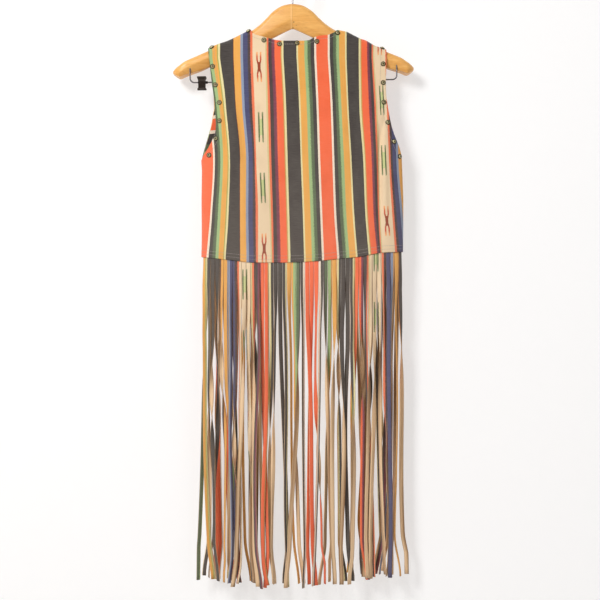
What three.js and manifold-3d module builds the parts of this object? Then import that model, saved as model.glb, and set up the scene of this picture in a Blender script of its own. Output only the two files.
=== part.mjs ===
// A sleeveless, open-front fringed vest hanging on a shaped wooden hanger with a wire trouser bar.
//
// Millimetres. +Z is up, +X is the wearer's right and +Y is the wearer's front. The origin is the
// point where the hanger's hook bears on what holds it, at the top of the inside of its loop.
//
// The cloth is a wall worked out from sections: a flattened ring round the body, which blends
// into a cap over the hanger's shoulders. Panels, hem strips and studs all read that one surface.

import * as THREE from 'three';
import { mergeVertices } from 'three/addons/utils/BufferGeometryUtils.js';
import Module from 'manifold-3d';

const wasm = await Module();
wasm.setup();

// ---------------------------------------------------------------- driving sizes

const cloth = { wall: 1.4, seamGap: 0.3, studGap: 0.45 };

// The flattened ring that the body makes: its side seams' depth in Y, how far the back and the
// fronts stand out from there, and how square its turns are.
const ring = { seamY: 12, backOut: 28, frontOut: 18, squareness: 3 };

// Over the shoulders the cloth stands off the wood by this much and turns over it in a cap.
const cap = { standOff: 2.1, height: 12, squareness: 2.3 };

// How far below the wood the cloth takes to swing from the wood's face to the body's ring.
const settle = { below: 5, back: 150, front: 75 };

const wood = {
  sweep: 26, sweepReach: 220, tilt: -0.9, tiltCentre: -80, holeClearance: 0.3, chamferDepth: 0.6,
};
const hook = { wire: 3.2, innerRadius: 16.5, stemBottom: -69, neck: -45, endAngle: 212 };
const bar = { wire: 2.5, reach: 191.5, top: -162, level: -196.9, y: 6.5, corner: 8 };
const clip = {
  x: -170, width: 17, height: 25, depth: 14, waist: 13.5, hub: 5, drop: 1.8, clearance: 0.35,
};
const stud = { radius: 4.6, rim: 0.8, shoulder: 3.4, shoulderHeight: 1.6, height: 3.1 };

const fringe = {
  pitch: 8.3, width: 8, thickness: 1.2, length: 595, uneven: 10, sink: 4,
  stripBottom: 0.6, stripTop: 9, stripWall: 1.6, apart: 8.75, levels: 60, step: 2.1,
};

// ---------------------------------------------------------------- tables of the cut

// Turns a short table into rows with named columns.
function table(names, rows) {
  const keys = names.split(' ');
  return rows.map((row) => Object.fromEntries(keys.map((key, i) => [key, row[i]])));
}

// The edges of the back at its armholes, from the shoulder tips down to the underarm.
const backArmhole = table('z left right', [
  [-136, -155.8, 173.2],
  [-161, -153.0, 173.2],
  [-180, -151.0, 172.4],
  [-205, -148.0, 171.9],
  [-225, -145.1, 172.6],
  [-244, -143.1, 175.2],
  [-262, -141.4, 178.1],
  [-281, -140.6, 181.9],
  [-296, -141.9, 186.6],
  [-309, -147.7, 192.0],
  [-323, -155.2, 197.5],
  [-335, -163.4, 201.0],
  [-344.5, -168.9, 202.3],
]);

const frontArmhole = table('z left right', [
  [-136, -155.8, 173.2],
  [-161, -153.3, 172.5],
  [-180, -151.3, 171.2],
  [-205, -148.8, 170.2],
  [-225, -146.8, 170.7],
  [-244, -146.1, 172.7],
  [-257, -148.3, 175.2],
  [-275, -151.1, 179.2],
  [-298, -157.2, 185.5],
  [-315, -161.9, 193.5],
  [-330, -166.0, 199.0],
  [-344.5, -168.9, 202.3],
]);

const sideSeams = table('z left right', [
  [-344.5, -168.9, 202.3],
  [-365, -167.8, 203.2],
  [-420, -168.4, 205.0],
  [-475, -168.0, 204.8],
  [-535, -169.0, 204.2],
]);

const hem = table('x z', [
  [-170, -522.5], [-142.6, -525.4], [-111, -529.1], [-69, -533.3], [-23, -533.3], [13.8, -532.4],
  [54, -529.7], [87, -526], [120.5, -522.8], [146, -518], [165, -514.9], [206, -513.1],
]);

// The highest line of the cloth's outer face, over the two shoulders and the hump between them.
const shoulderLine = table('x z', [
  [-155.8, -134.6], [-138, -127.2], [-122, -122.4], [-111, -117.9], [-97, -111.4], [-87, -106.6],
  [-78, -102.2], [-60, -90], [-30, -66], [0, -53], [30, -66], [62, -90], [76, -99], [84, -102.6],
  [91, -103.9], [99, -105.2], [104, -107.2], [112, -111.3], [120, -115], [126, -117.8],
  [135, -120.4], [145, -125.9], [151, -129.3], [159, -132], [173.2, -136.6],
]);

const backNeck = table('x z', [
  [-78, -102.2], [-77.1, -103.6], [-76, -107.2], [-73, -111.6], [-67, -114.3], [-55.1, -117.8],
  [-40.9, -121.8], [-30.3, -124.9], [-13.7, -126.2], [13.8, -126.4], [29, -125.4], [39.9, -119.8],
  [52.4, -115.9], [64.1, -114.8], [74.4, -110.9], [80, -107.4], [82.6, -104], [84, -102.6],
]);

// The plain straight-hanging edges of the two fronts, from the neck points to the hem.
const openEdges = table('z left right', [
  [-102, -78, 84], [-130, -78, 86], [-200, -74, 90], [-344.5, -66, 97], [-535, -56, 105],
]);

const underarm = -344.5;

// Where the columns of points stand along the back's upper edge, closer at its turns.
const backColumns = [
  -155.8, -152.6, -148.6, -143, -135, -126, -116, -106, -95, -85, -78, -77.1, -76, -71, -62, -51,
  -40, -27, -11, 6, 22, 32, 41, 52, 63, 73, 80, 82.6, 84, 91, 99, 108, 118, 128, 138, 148, 157,
  164.5, 169.4, 173.2,
];
const leftColumns = [-155.8, -152.6, -148.6, -143, -135, -126, -116, -106, -95, -85, -78];
const rightColumns = [84, 91, 99, 108, 118, 128, 138, 148, 157, 164.5, 169.4, 173.2];

// Heights of the rows: shares of the way from hem to underarm, and from underarm to the cap.
const lowerRows = [0, 0.15, 0.31, 0.49, 0.67, 0.85];
const upperRows = [0, 0.05, 0.115, 0.19, 0.275, 0.38, 0.52, 0.68, 0.84, 1];
const capDepths = [7.6, 3.9, 1.5, 0.4, 0];

// The largest folds: a ridge stands out of the cloth and a trough, with a minus height, goes in.
const backFolds = table('xTop xBottom zTop zBottom width height', [
  [-128, -108, -150, -430, 16, 3.4],
  [-106, -76, -230, -390, 10, -2.8],
  [157, 163, -270, -540, 9, -4.6],
  [169, 170, -190, -500, 11, 3],
  [-60, -64, -300, -560, 14, 2.4],
  [-98, -100, -340, -560, 12, -2.4],
  [-8, -10, -320, -560, 16, -2.4],
  [50, 50, -300, -560, 18, 2.6],
  [100, 102, -330, -560, 14, -2.6],
]);
const frontFolds = table('xTop xBottom zTop zBottom width height', [
  [-130, -118, -170, -470, 15, 3],
  [-104, -92, -260, -540, 11, -2.6],
  [126, 134, -180, -480, 14, 3.2],
  [150, 156, -280, -540, 11, -3],
]);

// The wooden hanger's half: its upper and lower lines and its thickness, by distance from the joint.
const woodProfile = table('x top bottom thick chamfer', [
  [0, -55, -101, 25, 15], [16, -57.5, -108, 24.5, 14.5], [34, -67, -116.5, 24, 13],
  [50, -82.5, -124, 23.5, 12], [61, -92.5, -129, 23, 12], [78, -103.7, -136.5, 23, 13],
  [108, -116.6, -148.5, 23, 14], [140, -129.7, -160.5, 25, 15], [172, -142.8, -173.5, 31, 15],
  [188, -149.5, -178, 34.5, 13], [202, -156, -181.5, 39, 10], [212, -163, -185, 38, 7],
  [219, -168, -181.5, 30, 4], [224, -173.5, -177.5, 20, 1.5],
]);

// Studs, by where their middles lie on the cloth.
const neckStuds = table('x z', [
  [-81, -107.2], [-52.5, -124.6], [-23.8, -132.4], [8.1, -130.7], [44.5, -127.4], [82.6, -110.8],
]);
const leftArmholeStuds = table('x z', [
  [-149, -135.6], [-147.6, -171.2], [-142.4, -205.6], [-134.6, -239], [-134.3, -273],
  [-140.9, -305.4], [-153.6, -335.6],
]);
const rightArmholeStuds = table('x z', [
  [166.2, -137], [167.4, -166.4], [167.6, -201.2], [168.4, -237.8], [175.4, -275.4],
  [186.9, -310.6], [197.4, -337.4],
]);
const frontStudHeights = [-168, -202, -236, -268, -300, -330];
const frontStudInset = 6.6;

// ---------------------------------------------------------------- small helpers

const mix = (a, b, share) => a + (b - a) * share;
const clamp = (value, low, high) => Math.min(high, Math.max(low, value));

function ease(from, to, value) {
  const share = clamp((value - from) / (to - from), 0, 1);
  return share * share * (3 - 2 * share);
}

// Reads one column of a table at any place, with a smooth curve through its rows.
function read(rows, at, by, column) {
  const rising = rows[0][by] < rows[rows.length - 1][by];
  const list = rising ? rows : [...rows].reverse();
  const last = list.length - 1;
  if (at <= list[0][by]) return list[0][column];
  if (at >= list[last][by]) return list[last][column];
  let i = 0;
  while (list[i + 1][by] < at) i += 1;
  const slope = (a, b) => (list[b][column] - list[a][column]) / (list[b][by] - list[a][by]);
  const here = slope(i, i + 1);
  const before = i > 0 ? slope(i - 1, i) : here;
  const after = i + 1 < last ? slope(i + 1, i + 2) : here;
  const soften = (a, b) => (a * b <= 0 ? 0 : (2 * a * b) / (a + b));
  const span = list[i + 1][by] - list[i][by];
  const t = (at - list[i][by]) / span;
  const start = soften(before, here) * span;
  const end = soften(here, after) * span;
  const rise = list[i + 1][column] - list[i][column];
  const curve = 3 * rise - 2 * start - end;
  const twist = start + end - 2 * rise;
  return list[i][column] + t * (start + t * (curve + t * twist));
}

// A fixed, even-looking number from 0 to 1 for a strand and a purpose.
function scatter(index, purpose) {
  const wave = Math.sin(index * 12.9898 + purpose * 78.233) * 43758.5453;
  return wave - Math.floor(wave);
}

// ---------------------------------------------------------------- the hanger's wood, as numbers

const woodMiddle = (x) => wood.sweep * (Math.abs(x) / wood.sweepReach) ** 1.5;
const woodThick = (x) => read(woodProfile, Math.abs(x), 'x', 'thick');
const woodBottom = (x) => read(woodProfile, Math.abs(x), 'x', 'bottom');

// ---------------------------------------------------------------- the cloth's surface

const back = { sign: -1, out: ring.backOut, folds: backFolds, settle: settle.back };
const front = { sign: 1, out: ring.frontOut, folds: frontFolds, settle: settle.front };

function seamAt(z, side) {
  return read(sideSeams, clamp(z, -535, underarm), 'z', side);
}

// How far a fold moves the cloth outwards at a place.
function foldAt(folds, x, z) {
  let out = 0;
  for (const fold of folds) {
    const share = clamp((fold.zTop - z) / (fold.zTop - fold.zBottom), 0, 1);
    const middle = mix(fold.xTop, fold.xBottom, share);
    const along = Math.sin(Math.PI * share) ** 0.8;
    out += fold.height * along * Math.exp(-(((x - middle) / fold.width) ** 2));
  }
  return out;
}

// The Y of the cloth's middle layer, on the back or a front, at any X and Z.
function clothY(half, x, z) {
  const left = seamAt(z, 'left');
  const right = seamAt(z, 'right');
  const centre = (left + right) / 2;
  const across = clamp(Math.abs(x - centre) / ((right - left) / 2), 0, 1);
  const round = (1 - across ** ring.squareness) ** (1 / ring.squareness);
  const bodyY = ring.seamY + half.sign * (half.out + foldAt(half.folds, x, z)) * round;

  const line = read(shoulderLine, x, 'x', 'z') - cloth.wall / 2;
  const depth = clamp((line - z) / cap.height, 0, 1);
  const turn = (1 - (1 - depth) ** cap.squareness) ** (1 / cap.squareness);
  const reach = woodThick(x) / 2 + cap.standOff;
  const seam = half.sign * cloth.seamGap / 2;
  const hangY = woodMiddle(x) + Math.max(reach * turn, Math.abs(seam)) * half.sign;

  const top = woodBottom(x) - settle.below;
  return mix(hangY, bodyY, ease(top, top - half.settle, z));
}

// A row's X at even shares of its length, measured along the cloth.
function shareOut(half, fromX, toX, z, shares) {
  const fine = 160;
  const xs = [];
  const run = [0];
  for (let i = 0; i <= fine; i += 1) {
    xs.push(mix(fromX, toX, (1 - Math.cos((Math.PI * i) / fine)) / 2));
  }
  for (let i = 1; i <= fine; i += 1) {
    const rise = clothY(half, xs[i], z) - clothY(half, xs[i - 1], z);
    run.push(run[i - 1] + Math.hypot(xs[i] - xs[i - 1], rise));
  }
  return shares.map((share) => {
    const goal = share * run[fine];
    let i = 1;
    while (i < fine && run[i] < goal) i += 1;
    const t = (goal - run[i - 1]) / (run[i] - run[i - 1]);
    return mix(xs[i - 1], xs[i], clamp(t, 0, 1));
  });
}

// The grid of middle points of a panel: rows from hem to top, columns from left to right.
// A row's two ends come from edgeAt, and its heights from topAt and the hem.
function panelGrid(half, columns, edgeAt, topAt) {
  const first = columns[0];
  const spread = columns[columns.length - 1] - first;
  const shares = columns.map((x) => (x - first) / spread);
  const rows = [];

  const addRow = (heightOf, straight) => {
    const middleZ = heightOf(Math.floor(columns.length / 2));
    const leftX = edgeAt(heightOf(0), 'left');
    const rightX = edgeAt(heightOf(columns.length - 1), 'right');
    const along = shareOut(half, leftX, rightX, middleZ, shares);
    rows.push(columns.map((_, j) => {
      const level = mix(leftX, rightX, shares[j]);
      const x = mix(along[j], level, straight);
      const z = heightOf(j, x);
      return new THREE.Vector3(x, clothY(half, x, z), z);
    }));
  };

  for (const share of lowerRows) {
    addRow((j, x) => mix(read(hem, x ?? columns[j], 'x', 'z'), underarm, share), 0);
  }
  for (const share of upperRows) {
    addRow((j) => mix(underarm, topAt(columns[j]) - cap.height, share), share ** 2);
  }
  for (const depth of capDepths) {
    addRow((j) => topAt(columns[j]) - depth, 1);
  }
  return rows;
}

// ---------------------------------------------------------------- solids from grids

function meshOf(positions, triangles) {
  const geometry = new THREE.BufferGeometry();
  geometry.setAttribute('position', new THREE.Float32BufferAttribute(positions, 3));
  geometry.setIndex(triangles);
  return geometry;
}

// Outward normals of a grid, with Y left out where a point lies on a seam.
function gridNormals(grid, half, onSeam) {
  const rows = grid.length;
  const columns = grid[0].length;
  const across = new THREE.Vector3();
  const up = new THREE.Vector3();
  return grid.map((row, i) => row.map((_, j) => {
    across.subVectors(row[Math.min(j + 1, columns - 1)], row[Math.max(j - 1, 0)]);
    up.subVectors(grid[Math.min(i + 1, rows - 1)][j], grid[Math.max(i - 1, 0)][j]);
    const normal = new THREE.Vector3().crossVectors(across, up).multiplyScalar(-half.sign);
    if (onSeam && onSeam(i, j)) normal.y = 0;
    return normal.normalize();
  }));
}

// A closed wall of even thickness round a grid of middle points, moved out by an offset.
function wallOf(grid, normals, thickness, offset, half) {
  const rows = grid.length;
  const columns = grid[0].length;
  const positions = [];
  const triangles = [];
  for (const side of [0.5, -0.5]) {
    for (let i = 0; i < rows; i += 1) {
      for (let j = 0; j < columns; j += 1) {
        const point = grid[i][j].clone().addScaledVector(normals[i][j], offset + side * thickness);
        positions.push(point.x, point.y, point.z);
      }
    }
  }
  const outer = (i, j) => i * columns + j;
  const inner = (i, j) => rows * columns + outer(i, j);
  const quad = (a, b, c, d) => {
    if (half.sign < 0) triangles.push(a, b, c, a, c, d);
    else triangles.push(a, c, b, a, d, c);
  };
  for (let i = 0; i + 1 < rows; i += 1) {
    for (let j = 0; j + 1 < columns; j += 1) {
      quad(outer(i, j), outer(i, j + 1), outer(i + 1, j + 1), outer(i + 1, j));
      quad(inner(i, j), inner(i + 1, j), inner(i + 1, j + 1), inner(i, j + 1));
    }
  }
  for (let j = 0; j + 1 < columns; j += 1) {
    quad(inner(0, j), inner(0, j + 1), outer(0, j + 1), outer(0, j));
    quad(outer(rows - 1, j), outer(rows - 1, j + 1), inner(rows - 1, j + 1), inner(rows - 1, j));
  }
  for (let i = 0; i + 1 < rows; i += 1) {
    quad(inner(i, 0), outer(i, 0), outer(i + 1, 0), inner(i + 1, 0));
    const last = columns - 1;
    quad(outer(i, last), inner(i, last), inner(i + 1, last), outer(i + 1, last));
  }
  return meshOf(positions, triangles);
}

// A closed solid through equal rings of points, with flat ends. The second half of a ring's sides
// splits along the other diagonal, so that the two faces of a thin twisted ribbon stay parallel.
function loft(rings) {
  const count = rings[0].length;
  const positions = rings.flat().flatMap((point) => [point.x, point.y, point.z]);
  const triangles = [];
  for (let i = 0; i + 1 < rings.length; i += 1) {
    for (let j = 0; j < count; j += 1) {
      const a = i * count + j;
      const b = i * count + ((j + 1) % count);
      if (j < count / 2) triangles.push(a, b, b + count, a, b + count, a + count);
      else triangles.push(a, b, a + count, b, b + count, a + count);
    }
  }
  const end = (rings.length - 1) * count;
  for (let j = 1; j + 1 < count; j += 1) {
    triangles.push(0, j + 1, j, end, end + j, end + j + 1);
  }
  return meshOf(positions, triangles);
}

function toSolid(geometry) {
  const bare = geometry.clone();
  for (const name of Object.keys(bare.attributes)) {
    if (name !== 'position') bare.deleteAttribute(name);
  }
  const merged = mergeVertices(bare, 1e-4);
  return new wasm.Manifold(new wasm.Mesh({
    numProp: 3,
    vertProperties: new Float32Array(merged.attributes.position.array),
    triVerts: new Uint32Array(merged.index.array),
  }));
}

function toGeometry(solid) {
  const mesh = solid.getMesh();
  return meshOf(mesh.vertProperties, Array.from(mesh.triVerts));
}

// A curve whose steps fall on its own stops, so that a long straight run takes one step.
class StopCurve extends THREE.Curve {
  constructor(stops) {
    super();
    this.stops = stops;
  }

  getPoint(t, target = new THREE.Vector3()) {
    const place = clamp(t, 0, 1) * (this.stops.length - 1);
    const i = Math.min(Math.floor(place), this.stops.length - 2);
    return target.lerpVectors(this.stops[i], this.stops[i + 1], place - i);
  }

  getUtoTmapping(u) {
    return u;
  }

  getTangent(t, target = new THREE.Vector3()) {
    const i = Math.round(t * (this.stops.length - 1));
    const next = this.stops[Math.min(i + 1, this.stops.length - 1)];
    const last = this.stops[Math.max(i - 1, 0)];
    return target.subVectors(next, last).normalize();
  }
}

function wire(stops, diameter) {
  const circle = new THREE.Shape();
  circle.absarc(0, 0, diameter / 2, 0, Math.PI * 2, false);
  return new THREE.ExtrudeGeometry(circle, {
    steps: stops.length - 1, extrudePath: new StopCurve(stops), curveSegments: 4, bevelEnabled: false,
  });
}

// ---------------------------------------------------------------- materials and naming

const finish = (color, roughness, metalness = 0) => (
  new THREE.MeshStandardMaterial({ color, roughness, metalness })
);
const finishes = {
  stripedCloth: finish(0xd98a4e, 0.85),
  fringeCloth: finish(0xc9a77c, 0.85),
  honeyWood: finish(0xe0a050, 0.45),
  steelWire: finish(0x8f8f93, 0.35, 0.9),
  blackSteel: finish(0x1d1b1a, 0.4, 0.6),
  agedMetal: finish(0x5c5548, 0.4, 0.85),
};

function piece(name, geometry, material) {
  const mesh = new THREE.Mesh(geometry, material);
  mesh.name = name;
  return mesh;
}

// ---------------------------------------------------------------- the vest's panels

const backTop = (x) => {
  const betweenNecks = x > backNeck[0].x && x < backNeck[backNeck.length - 1].x;
  return read(betweenNecks ? backNeck : shoulderLine, x, 'x', 'z') - cloth.wall / 2;
};
const frontTop = (x) => read(shoulderLine, x, 'x', 'z') - cloth.wall / 2;

function armholeEdge(rows, z, side) {
  return z < underarm ? seamAt(z, side) : read(rows, Math.min(z, -136), 'z', side);
}

const topRow = lowerRows.length + upperRows.length + capDepths.length - 1;
const lastSeamRow = lowerRows.length;
const hangsFrom = { left: seamAt(-520, 'left'), right: seamAt(-520, 'right') };

function backSheet() {
  const grid = panelGrid(back, backColumns, (z, side) => armholeEdge(backArmhole, z, side), backTop);
  const last = backColumns.length - 1;
  const rightNeck = backNeck[backNeck.length - 1].x;
  const overShoulder = (j) => backColumns[j] <= backNeck[0].x || backColumns[j] >= rightNeck;
  const onSeam = (i, j) => (
    (i <= lastSeamRow && (j === 0 || j === last)) || (i === topRow && overShoulder(j))
  );
  for (let i = 0; i <= lastSeamRow; i += 1) {
    grid[i][0].y -= cloth.seamGap / 2;
    grid[i][last].y -= cloth.seamGap / 2;
  }
  return { half: back, grid, normals: gridNormals(grid, back, onSeam), strip: [1, last - 1] };
}

function frontSheet(side) {
  const isLeft = side === 'left';
  const columns = isLeft ? leftColumns : rightColumns;
  const last = columns.length - 1;
  const seamColumn = isLeft ? 0 : last;
  const edgeAt = (z, end) => (
    end === side ? armholeEdge(frontArmhole, z, side) : read(openEdges, z, 'z', side)
  );
  const grid = panelGrid(front, columns, edgeAt, frontTop);
  const onSeam = (i, j) => (i <= lastSeamRow && j === seamColumn) || i === topRow;
  for (let i = 0; i <= lastSeamRow; i += 1) {
    grid[i][seamColumn].y += cloth.seamGap / 2;
  }
  const strip = isLeft ? [1, last] : [0, last - 1];
  return { half: front, grid, normals: gridNormals(grid, front, onSeam), strip };
}

function buildPanel({ half, grid, normals }) {
  return wallOf(grid, normals, cloth.wall, 0, half);
}

// ---------------------------------------------------------------- the fringe

const stripOffset = -(cloth.wall / 2 + cloth.seamGap + fringe.stripWall / 2);

// A band is the strip inside a panel's hem, made from the panel's own points moved in.
function bandOf(sheet, seed) {
  const [from, to] = sheet.strip;
  const normals = sheet.normals[0].slice(from, to + 1);
  const rowAt = (lift) => sheet.grid[0].slice(from, to + 1).map((point, j) => {
    const above = sheet.grid[1][from + j];
    return point.clone().lerp(above, lift / (above.z - point.z));
  });
  const rows = [rowAt(fringe.stripBottom), rowAt(fringe.stripTop)];
  const middle = rowAt(0).map((point, j) => point.addScaledVector(normals[j], stripOffset));
  return { half: sheet.half, seed, rows, normals, middle };
}

// The strands' roots, a pitch apart along the band, each facing the way the band does.
function bandRoots({ middle, half }) {
  const flat = (a, b) => Math.hypot(b.x - a.x, b.y - a.y);
  const run = [0];
  for (let i = 1; i < middle.length; i += 1) {
    run.push(run[i - 1] + flat(middle[i - 1], middle[i]));
  }
  const length = run[run.length - 1];
  const pointAt = (goal) => {
    let i = 1;
    while (i < run.length - 1 && run[i] < goal) i += 1;
    return middle[i - 1].clone().lerp(middle[i], (goal - run[i - 1]) / (run[i] - run[i - 1]));
  };
  const count = Math.floor(length / fringe.pitch);
  const start = (length - count * fringe.pitch) / 2;
  return Array.from({ length: count }, (_, k) => {
    const goal = start + (k + 0.5) * fringe.pitch;
    const from = pointAt(goal - fringe.width / 2);
    const to = pointAt(goal + fringe.width / 2);
    const along = to.clone().sub(from);
    const faces = Math.atan2(along.x * half.sign, -along.y * half.sign);
    return { point: from.lerp(to, 0.5), faces };
  });
}

// Where every strand hangs, level by level: each drifts towards a place of its own, and strands
// that come closer than their width push each other aside.
function layStrands(bands) {
  const strands = bands.flatMap((band) => bandRoots(band).map(({ point, faces }, k) => {
    const index = band.seed + k;
    const turn = scatter(index, 3);
    return {
      band, anchor: point, path: [], here: point.clone(), faces,
      drift: (scatter(index, 1) - 0.5) * 34,
      lane: (scatter(index, 2) - 0.5) * 26 - Math.sin(faces) * 3,
      sway: (scatter(index, 4) - 0.5) * 7,
      phase: scatter(index, 5) * Math.PI * 2,
      turns: turn < 0.25 ? 0 : turn < 0.82 ? 1 : 2,
      turnWay: scatter(index, 6) < 0.5 ? -1 : 1,
      turnAt: mix(0.22, 0.62, scatter(index, 7)),
      lean: (scatter(index, 8) - 0.5) * 2.2,
      reach: fringe.length + (scatter(index, 9) - 0.5) * fringe.uneven,
      curl: (scatter(index, 10) - 0.5) * 26,
    };
  }));
  const move = new THREE.Vector2();
  for (let level = 0; level <= fringe.levels; level += 1) {
    const share = level / fringe.levels;
    for (const strand of strands) {
      const wave = strand.sway * Math.sin(share * 7 + strand.phase) * ease(0, 0.3, share);
      const kick = strand.curl * ease(0.87, 1, share);
      const aimX = strand.anchor.x + strand.drift * share ** 1.5 + wave + kick;
      const goalX = clamp(aimX, hangsFrom.left - 6 * share, hangsFrom.right + 8 * share);
      const goalY = strand.anchor.y + strand.lane * ease(0.02, 0.45, share);
      move.set(goalX - strand.here.x, goalY - strand.here.y).clampLength(0, fringe.step);
      if (level > 0) strand.here.add(new THREE.Vector3(move.x, move.y, 0));
    }
    const clear = mix(fringe.pitch, fringe.apart, ease(0, 0.12, share));
    for (let pass = 0; pass < 14 && level > 0; pass += 1) {
      pushApart(strands, clear);
    }
    for (const strand of strands) {
      const z = strand.anchor.z - 0.5 - share * strand.reach;
      const flip = strand.turns * Math.PI * ease(strand.turnAt - 0.2, strand.turnAt + 0.25, share);
      const angle = strand.faces + strand.turnWay * flip + strand.lean * ease(0.04, 0.3, share);
      strand.path.push({ x: strand.here.x, y: strand.here.y, z, angle });
    }
  }
  return strands;
}

function pushApart(strands, clear) {
  for (let a = 0; a < strands.length; a += 1) {
    for (let b = a + 1; b < strands.length; b += 1) {
      const one = strands[a].here;
      const two = strands[b].here;
      const dx = two.x - one.x;
      const dy = two.y - one.y;
      const gap = Math.hypot(dx, dy);
      if (gap < clear) {
        const push = (clear - gap) / 2 / Math.max(gap, 1e-6);
        one.x -= dx * push;
        one.y -= dy * push;
        two.x += dx * push;
        two.y += dy * push;
      }
    }
  }
}

const sampledLevels = [0, 5, 12, 20, 28, 36, 44, 51, 56, 60];

// One strand: a flat ribbon of four sides that turns as it hangs, its root sunk in the strip.
function strandSolid(strand) {
  const stops = sampledLevels.map((level) => strand.path[level]);
  const root = { ...stops[0], z: stops[0].z + fringe.sink };
  const rings = [root, ...stops.slice(1)].map((stop) => {
    const outX = Math.cos(stop.angle);
    const outY = Math.sin(stop.angle);
    const corners = [[1, 1], [-1, 1], [-1, -1], [1, -1]];
    return corners.map(([wide, thick]) => new THREE.Vector3(
      stop.x - outY * wide * fringe.width / 2 + outX * thick * fringe.thickness / 2,
      stop.y + outX * wide * fringe.width / 2 + outY * thick * fringe.thickness / 2,
      stop.z,
    ));
  });
  return toSolid(loft(rings));
}

function buildFringe(band, strands) {
  const normals = [band.normals, band.normals];
  const strip = toSolid(wallOf(band.rows, normals, fringe.stripWall, stripOffset, band.half));
  const own = strands.filter((strand) => strand.band === band);
  return toGeometry(own.reduce((solid, strand) => solid.add(strandSolid(strand)), strip));
}

// ---------------------------------------------------------------- studs

function studGeometry() {
  const profile = [
    [0, 0], [stud.radius, 0], [stud.radius, stud.rim], [stud.shoulder, stud.shoulderHeight],
    [0, stud.height],
  ];
  const points = profile.map(([radius, height]) => new THREE.Vector2(radius, height));
  return new THREE.LatheGeometry(points, 8);
}

// A stud that stands on the cloth's outer face at a place given by X and Z.
function placeStud(name, half, x, z) {
  const reach = 0.6;
  const at = (dx, dz) => new THREE.Vector3(x + dx, clothY(half, x + dx, z + dz), z + dz);
  const across = at(reach, 0).sub(at(-reach, 0));
  const up = at(0, reach).sub(at(0, -reach));
  const normal = new THREE.Vector3().crossVectors(across, up).multiplyScalar(-half.sign).normalize();
  const mesh = piece(name, studGeometry(), finishes.agedMetal);
  mesh.position.copy(at(0, 0)).addScaledVector(normal, cloth.wall / 2 + cloth.studGap);
  mesh.quaternion.setFromUnitVectors(new THREE.Vector3(0, 1, 0), normal);
  return mesh;
}

function buildStuds() {
  const studs = [];
  neckStuds.forEach(({ x, z }, i) => studs.push(placeStud(`stud_neck_${i + 1}`, back, x, z)));
  const rows = { left: leftArmholeStuds, right: rightArmholeStuds };
  for (const [side, places] of Object.entries(rows)) {
    places.forEach(({ x, z }, i) => {
      studs.push(placeStud(`stud_armhole_${side}_${i + 1}`, back, x, z));
    });
    const inwards = side === 'left' ? 1 : -1;
    frontStudHeights.forEach((z, i) => {
      const slope = read(frontArmhole, z + 4, 'z', side) - read(frontArmhole, z - 4, 'z', side);
      const inset = frontStudInset * Math.hypot(1, slope / 8);
      const x = read(frontArmhole, z, 'z', side) + inwards * inset;
      studs.push(placeStud(`stud_armhole_${side}_${places.length + i + 1}`, front, x, z));
    });
  }
  return studs;
}

// ---------------------------------------------------------------- the hanger

function woodSection(x) {
  const distance = Math.abs(x);
  const top = read(woodProfile, distance, 'x', 'top');
  const bottom = read(woodProfile, distance, 'x', 'bottom');
  const half = woodThick(x) / 2;
  const middle = woodMiddle(x);
  const scale = Math.min(1, (top - bottom) / 32);
  const chamfer = read(woodProfile, distance, 'x', 'chamfer');
  const corners = [
    [0, top], [half - 5.5 * scale, top - 1.8 * scale], [half - 2 * scale, top - 5 * scale],
    [half, top - 10 * scale], [half, bottom + chamfer], [half - chamfer * wood.chamferDepth, bottom],
  ];
  const mirrored = corners.slice(1).map(([y, z]) => [-y, z]);
  return [...mirrored, ...corners.reverse()].map(([y, z]) => new THREE.Vector3(x, middle + y, z));
}

function hookStops() {
  const radius = hook.innerRadius + hook.wire / 2;
  const centre = -hook.innerRadius;
  const stops = [new THREE.Vector3(0, 0, hook.stemBottom), new THREE.Vector3(0, 0, hook.neck - 4)];
  const bend = [[0.35, 0.6], [2.4, 4.2], [6.5, 7.6], [11.2, 11.6]];
  for (const [out, rise] of bend) {
    stops.push(new THREE.Vector3(out, 0, hook.neck - 4 + rise * 1.25));
  }
  const from = -38;
  const arcs = 14;
  for (let i = 0; i <= arcs; i += 1) {
    const angle = THREE.MathUtils.degToRad(mix(from, hook.endAngle, i / arcs));
    stops.push(new THREE.Vector3(radius * Math.cos(angle), 0, centre + radius * Math.sin(angle)));
  }
  return stops;
}

function barStops(extend) {
  const stops = [];
  const arcs = 4;
  for (const side of [-1, 1]) {
    const end = [new THREE.Vector3(side * bar.reach, bar.y, bar.top + extend)];
    for (let i = 0; i <= arcs; i += 1) {
      const angle = (Math.PI / 2) * (i / arcs);
      end.push(new THREE.Vector3(
        side * (bar.reach - bar.corner + bar.corner * Math.cos(angle)),
        bar.y,
        bar.level + bar.corner - bar.corner * Math.sin(angle),
      ));
    }
    stops.push(...(side < 0 ? end : end.reverse()));
  }
  return stops;
}

function buildWood() {
  const xs = woodProfile.map(({ x }) => x);
  const sections = [...xs.slice(1).reverse().map((x) => -x), ...xs].map(woodSection);
  let solid = toSolid(loft(sections));
  const clearance = wood.holeClearance * 2;
  const stemHole = [new THREE.Vector3(0, 0, hook.stemBottom - 1), new THREE.Vector3(0, 0, -40)];
  const tilt = new THREE.Matrix4().makeRotationY(-THREE.MathUtils.degToRad(wood.tilt));
  const upright = stemHole.map((stop) => {
    stop.z -= wood.tiltCentre;
    stop.applyMatrix4(tilt);
    stop.z += wood.tiltCentre;
    return stop;
  });
  solid = solid.subtract(toSolid(wire(upright, hook.wire + clearance)));
  return toGeometry(solid.subtract(toSolid(wire(barStops(1), bar.wire + clearance))));
}

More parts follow.
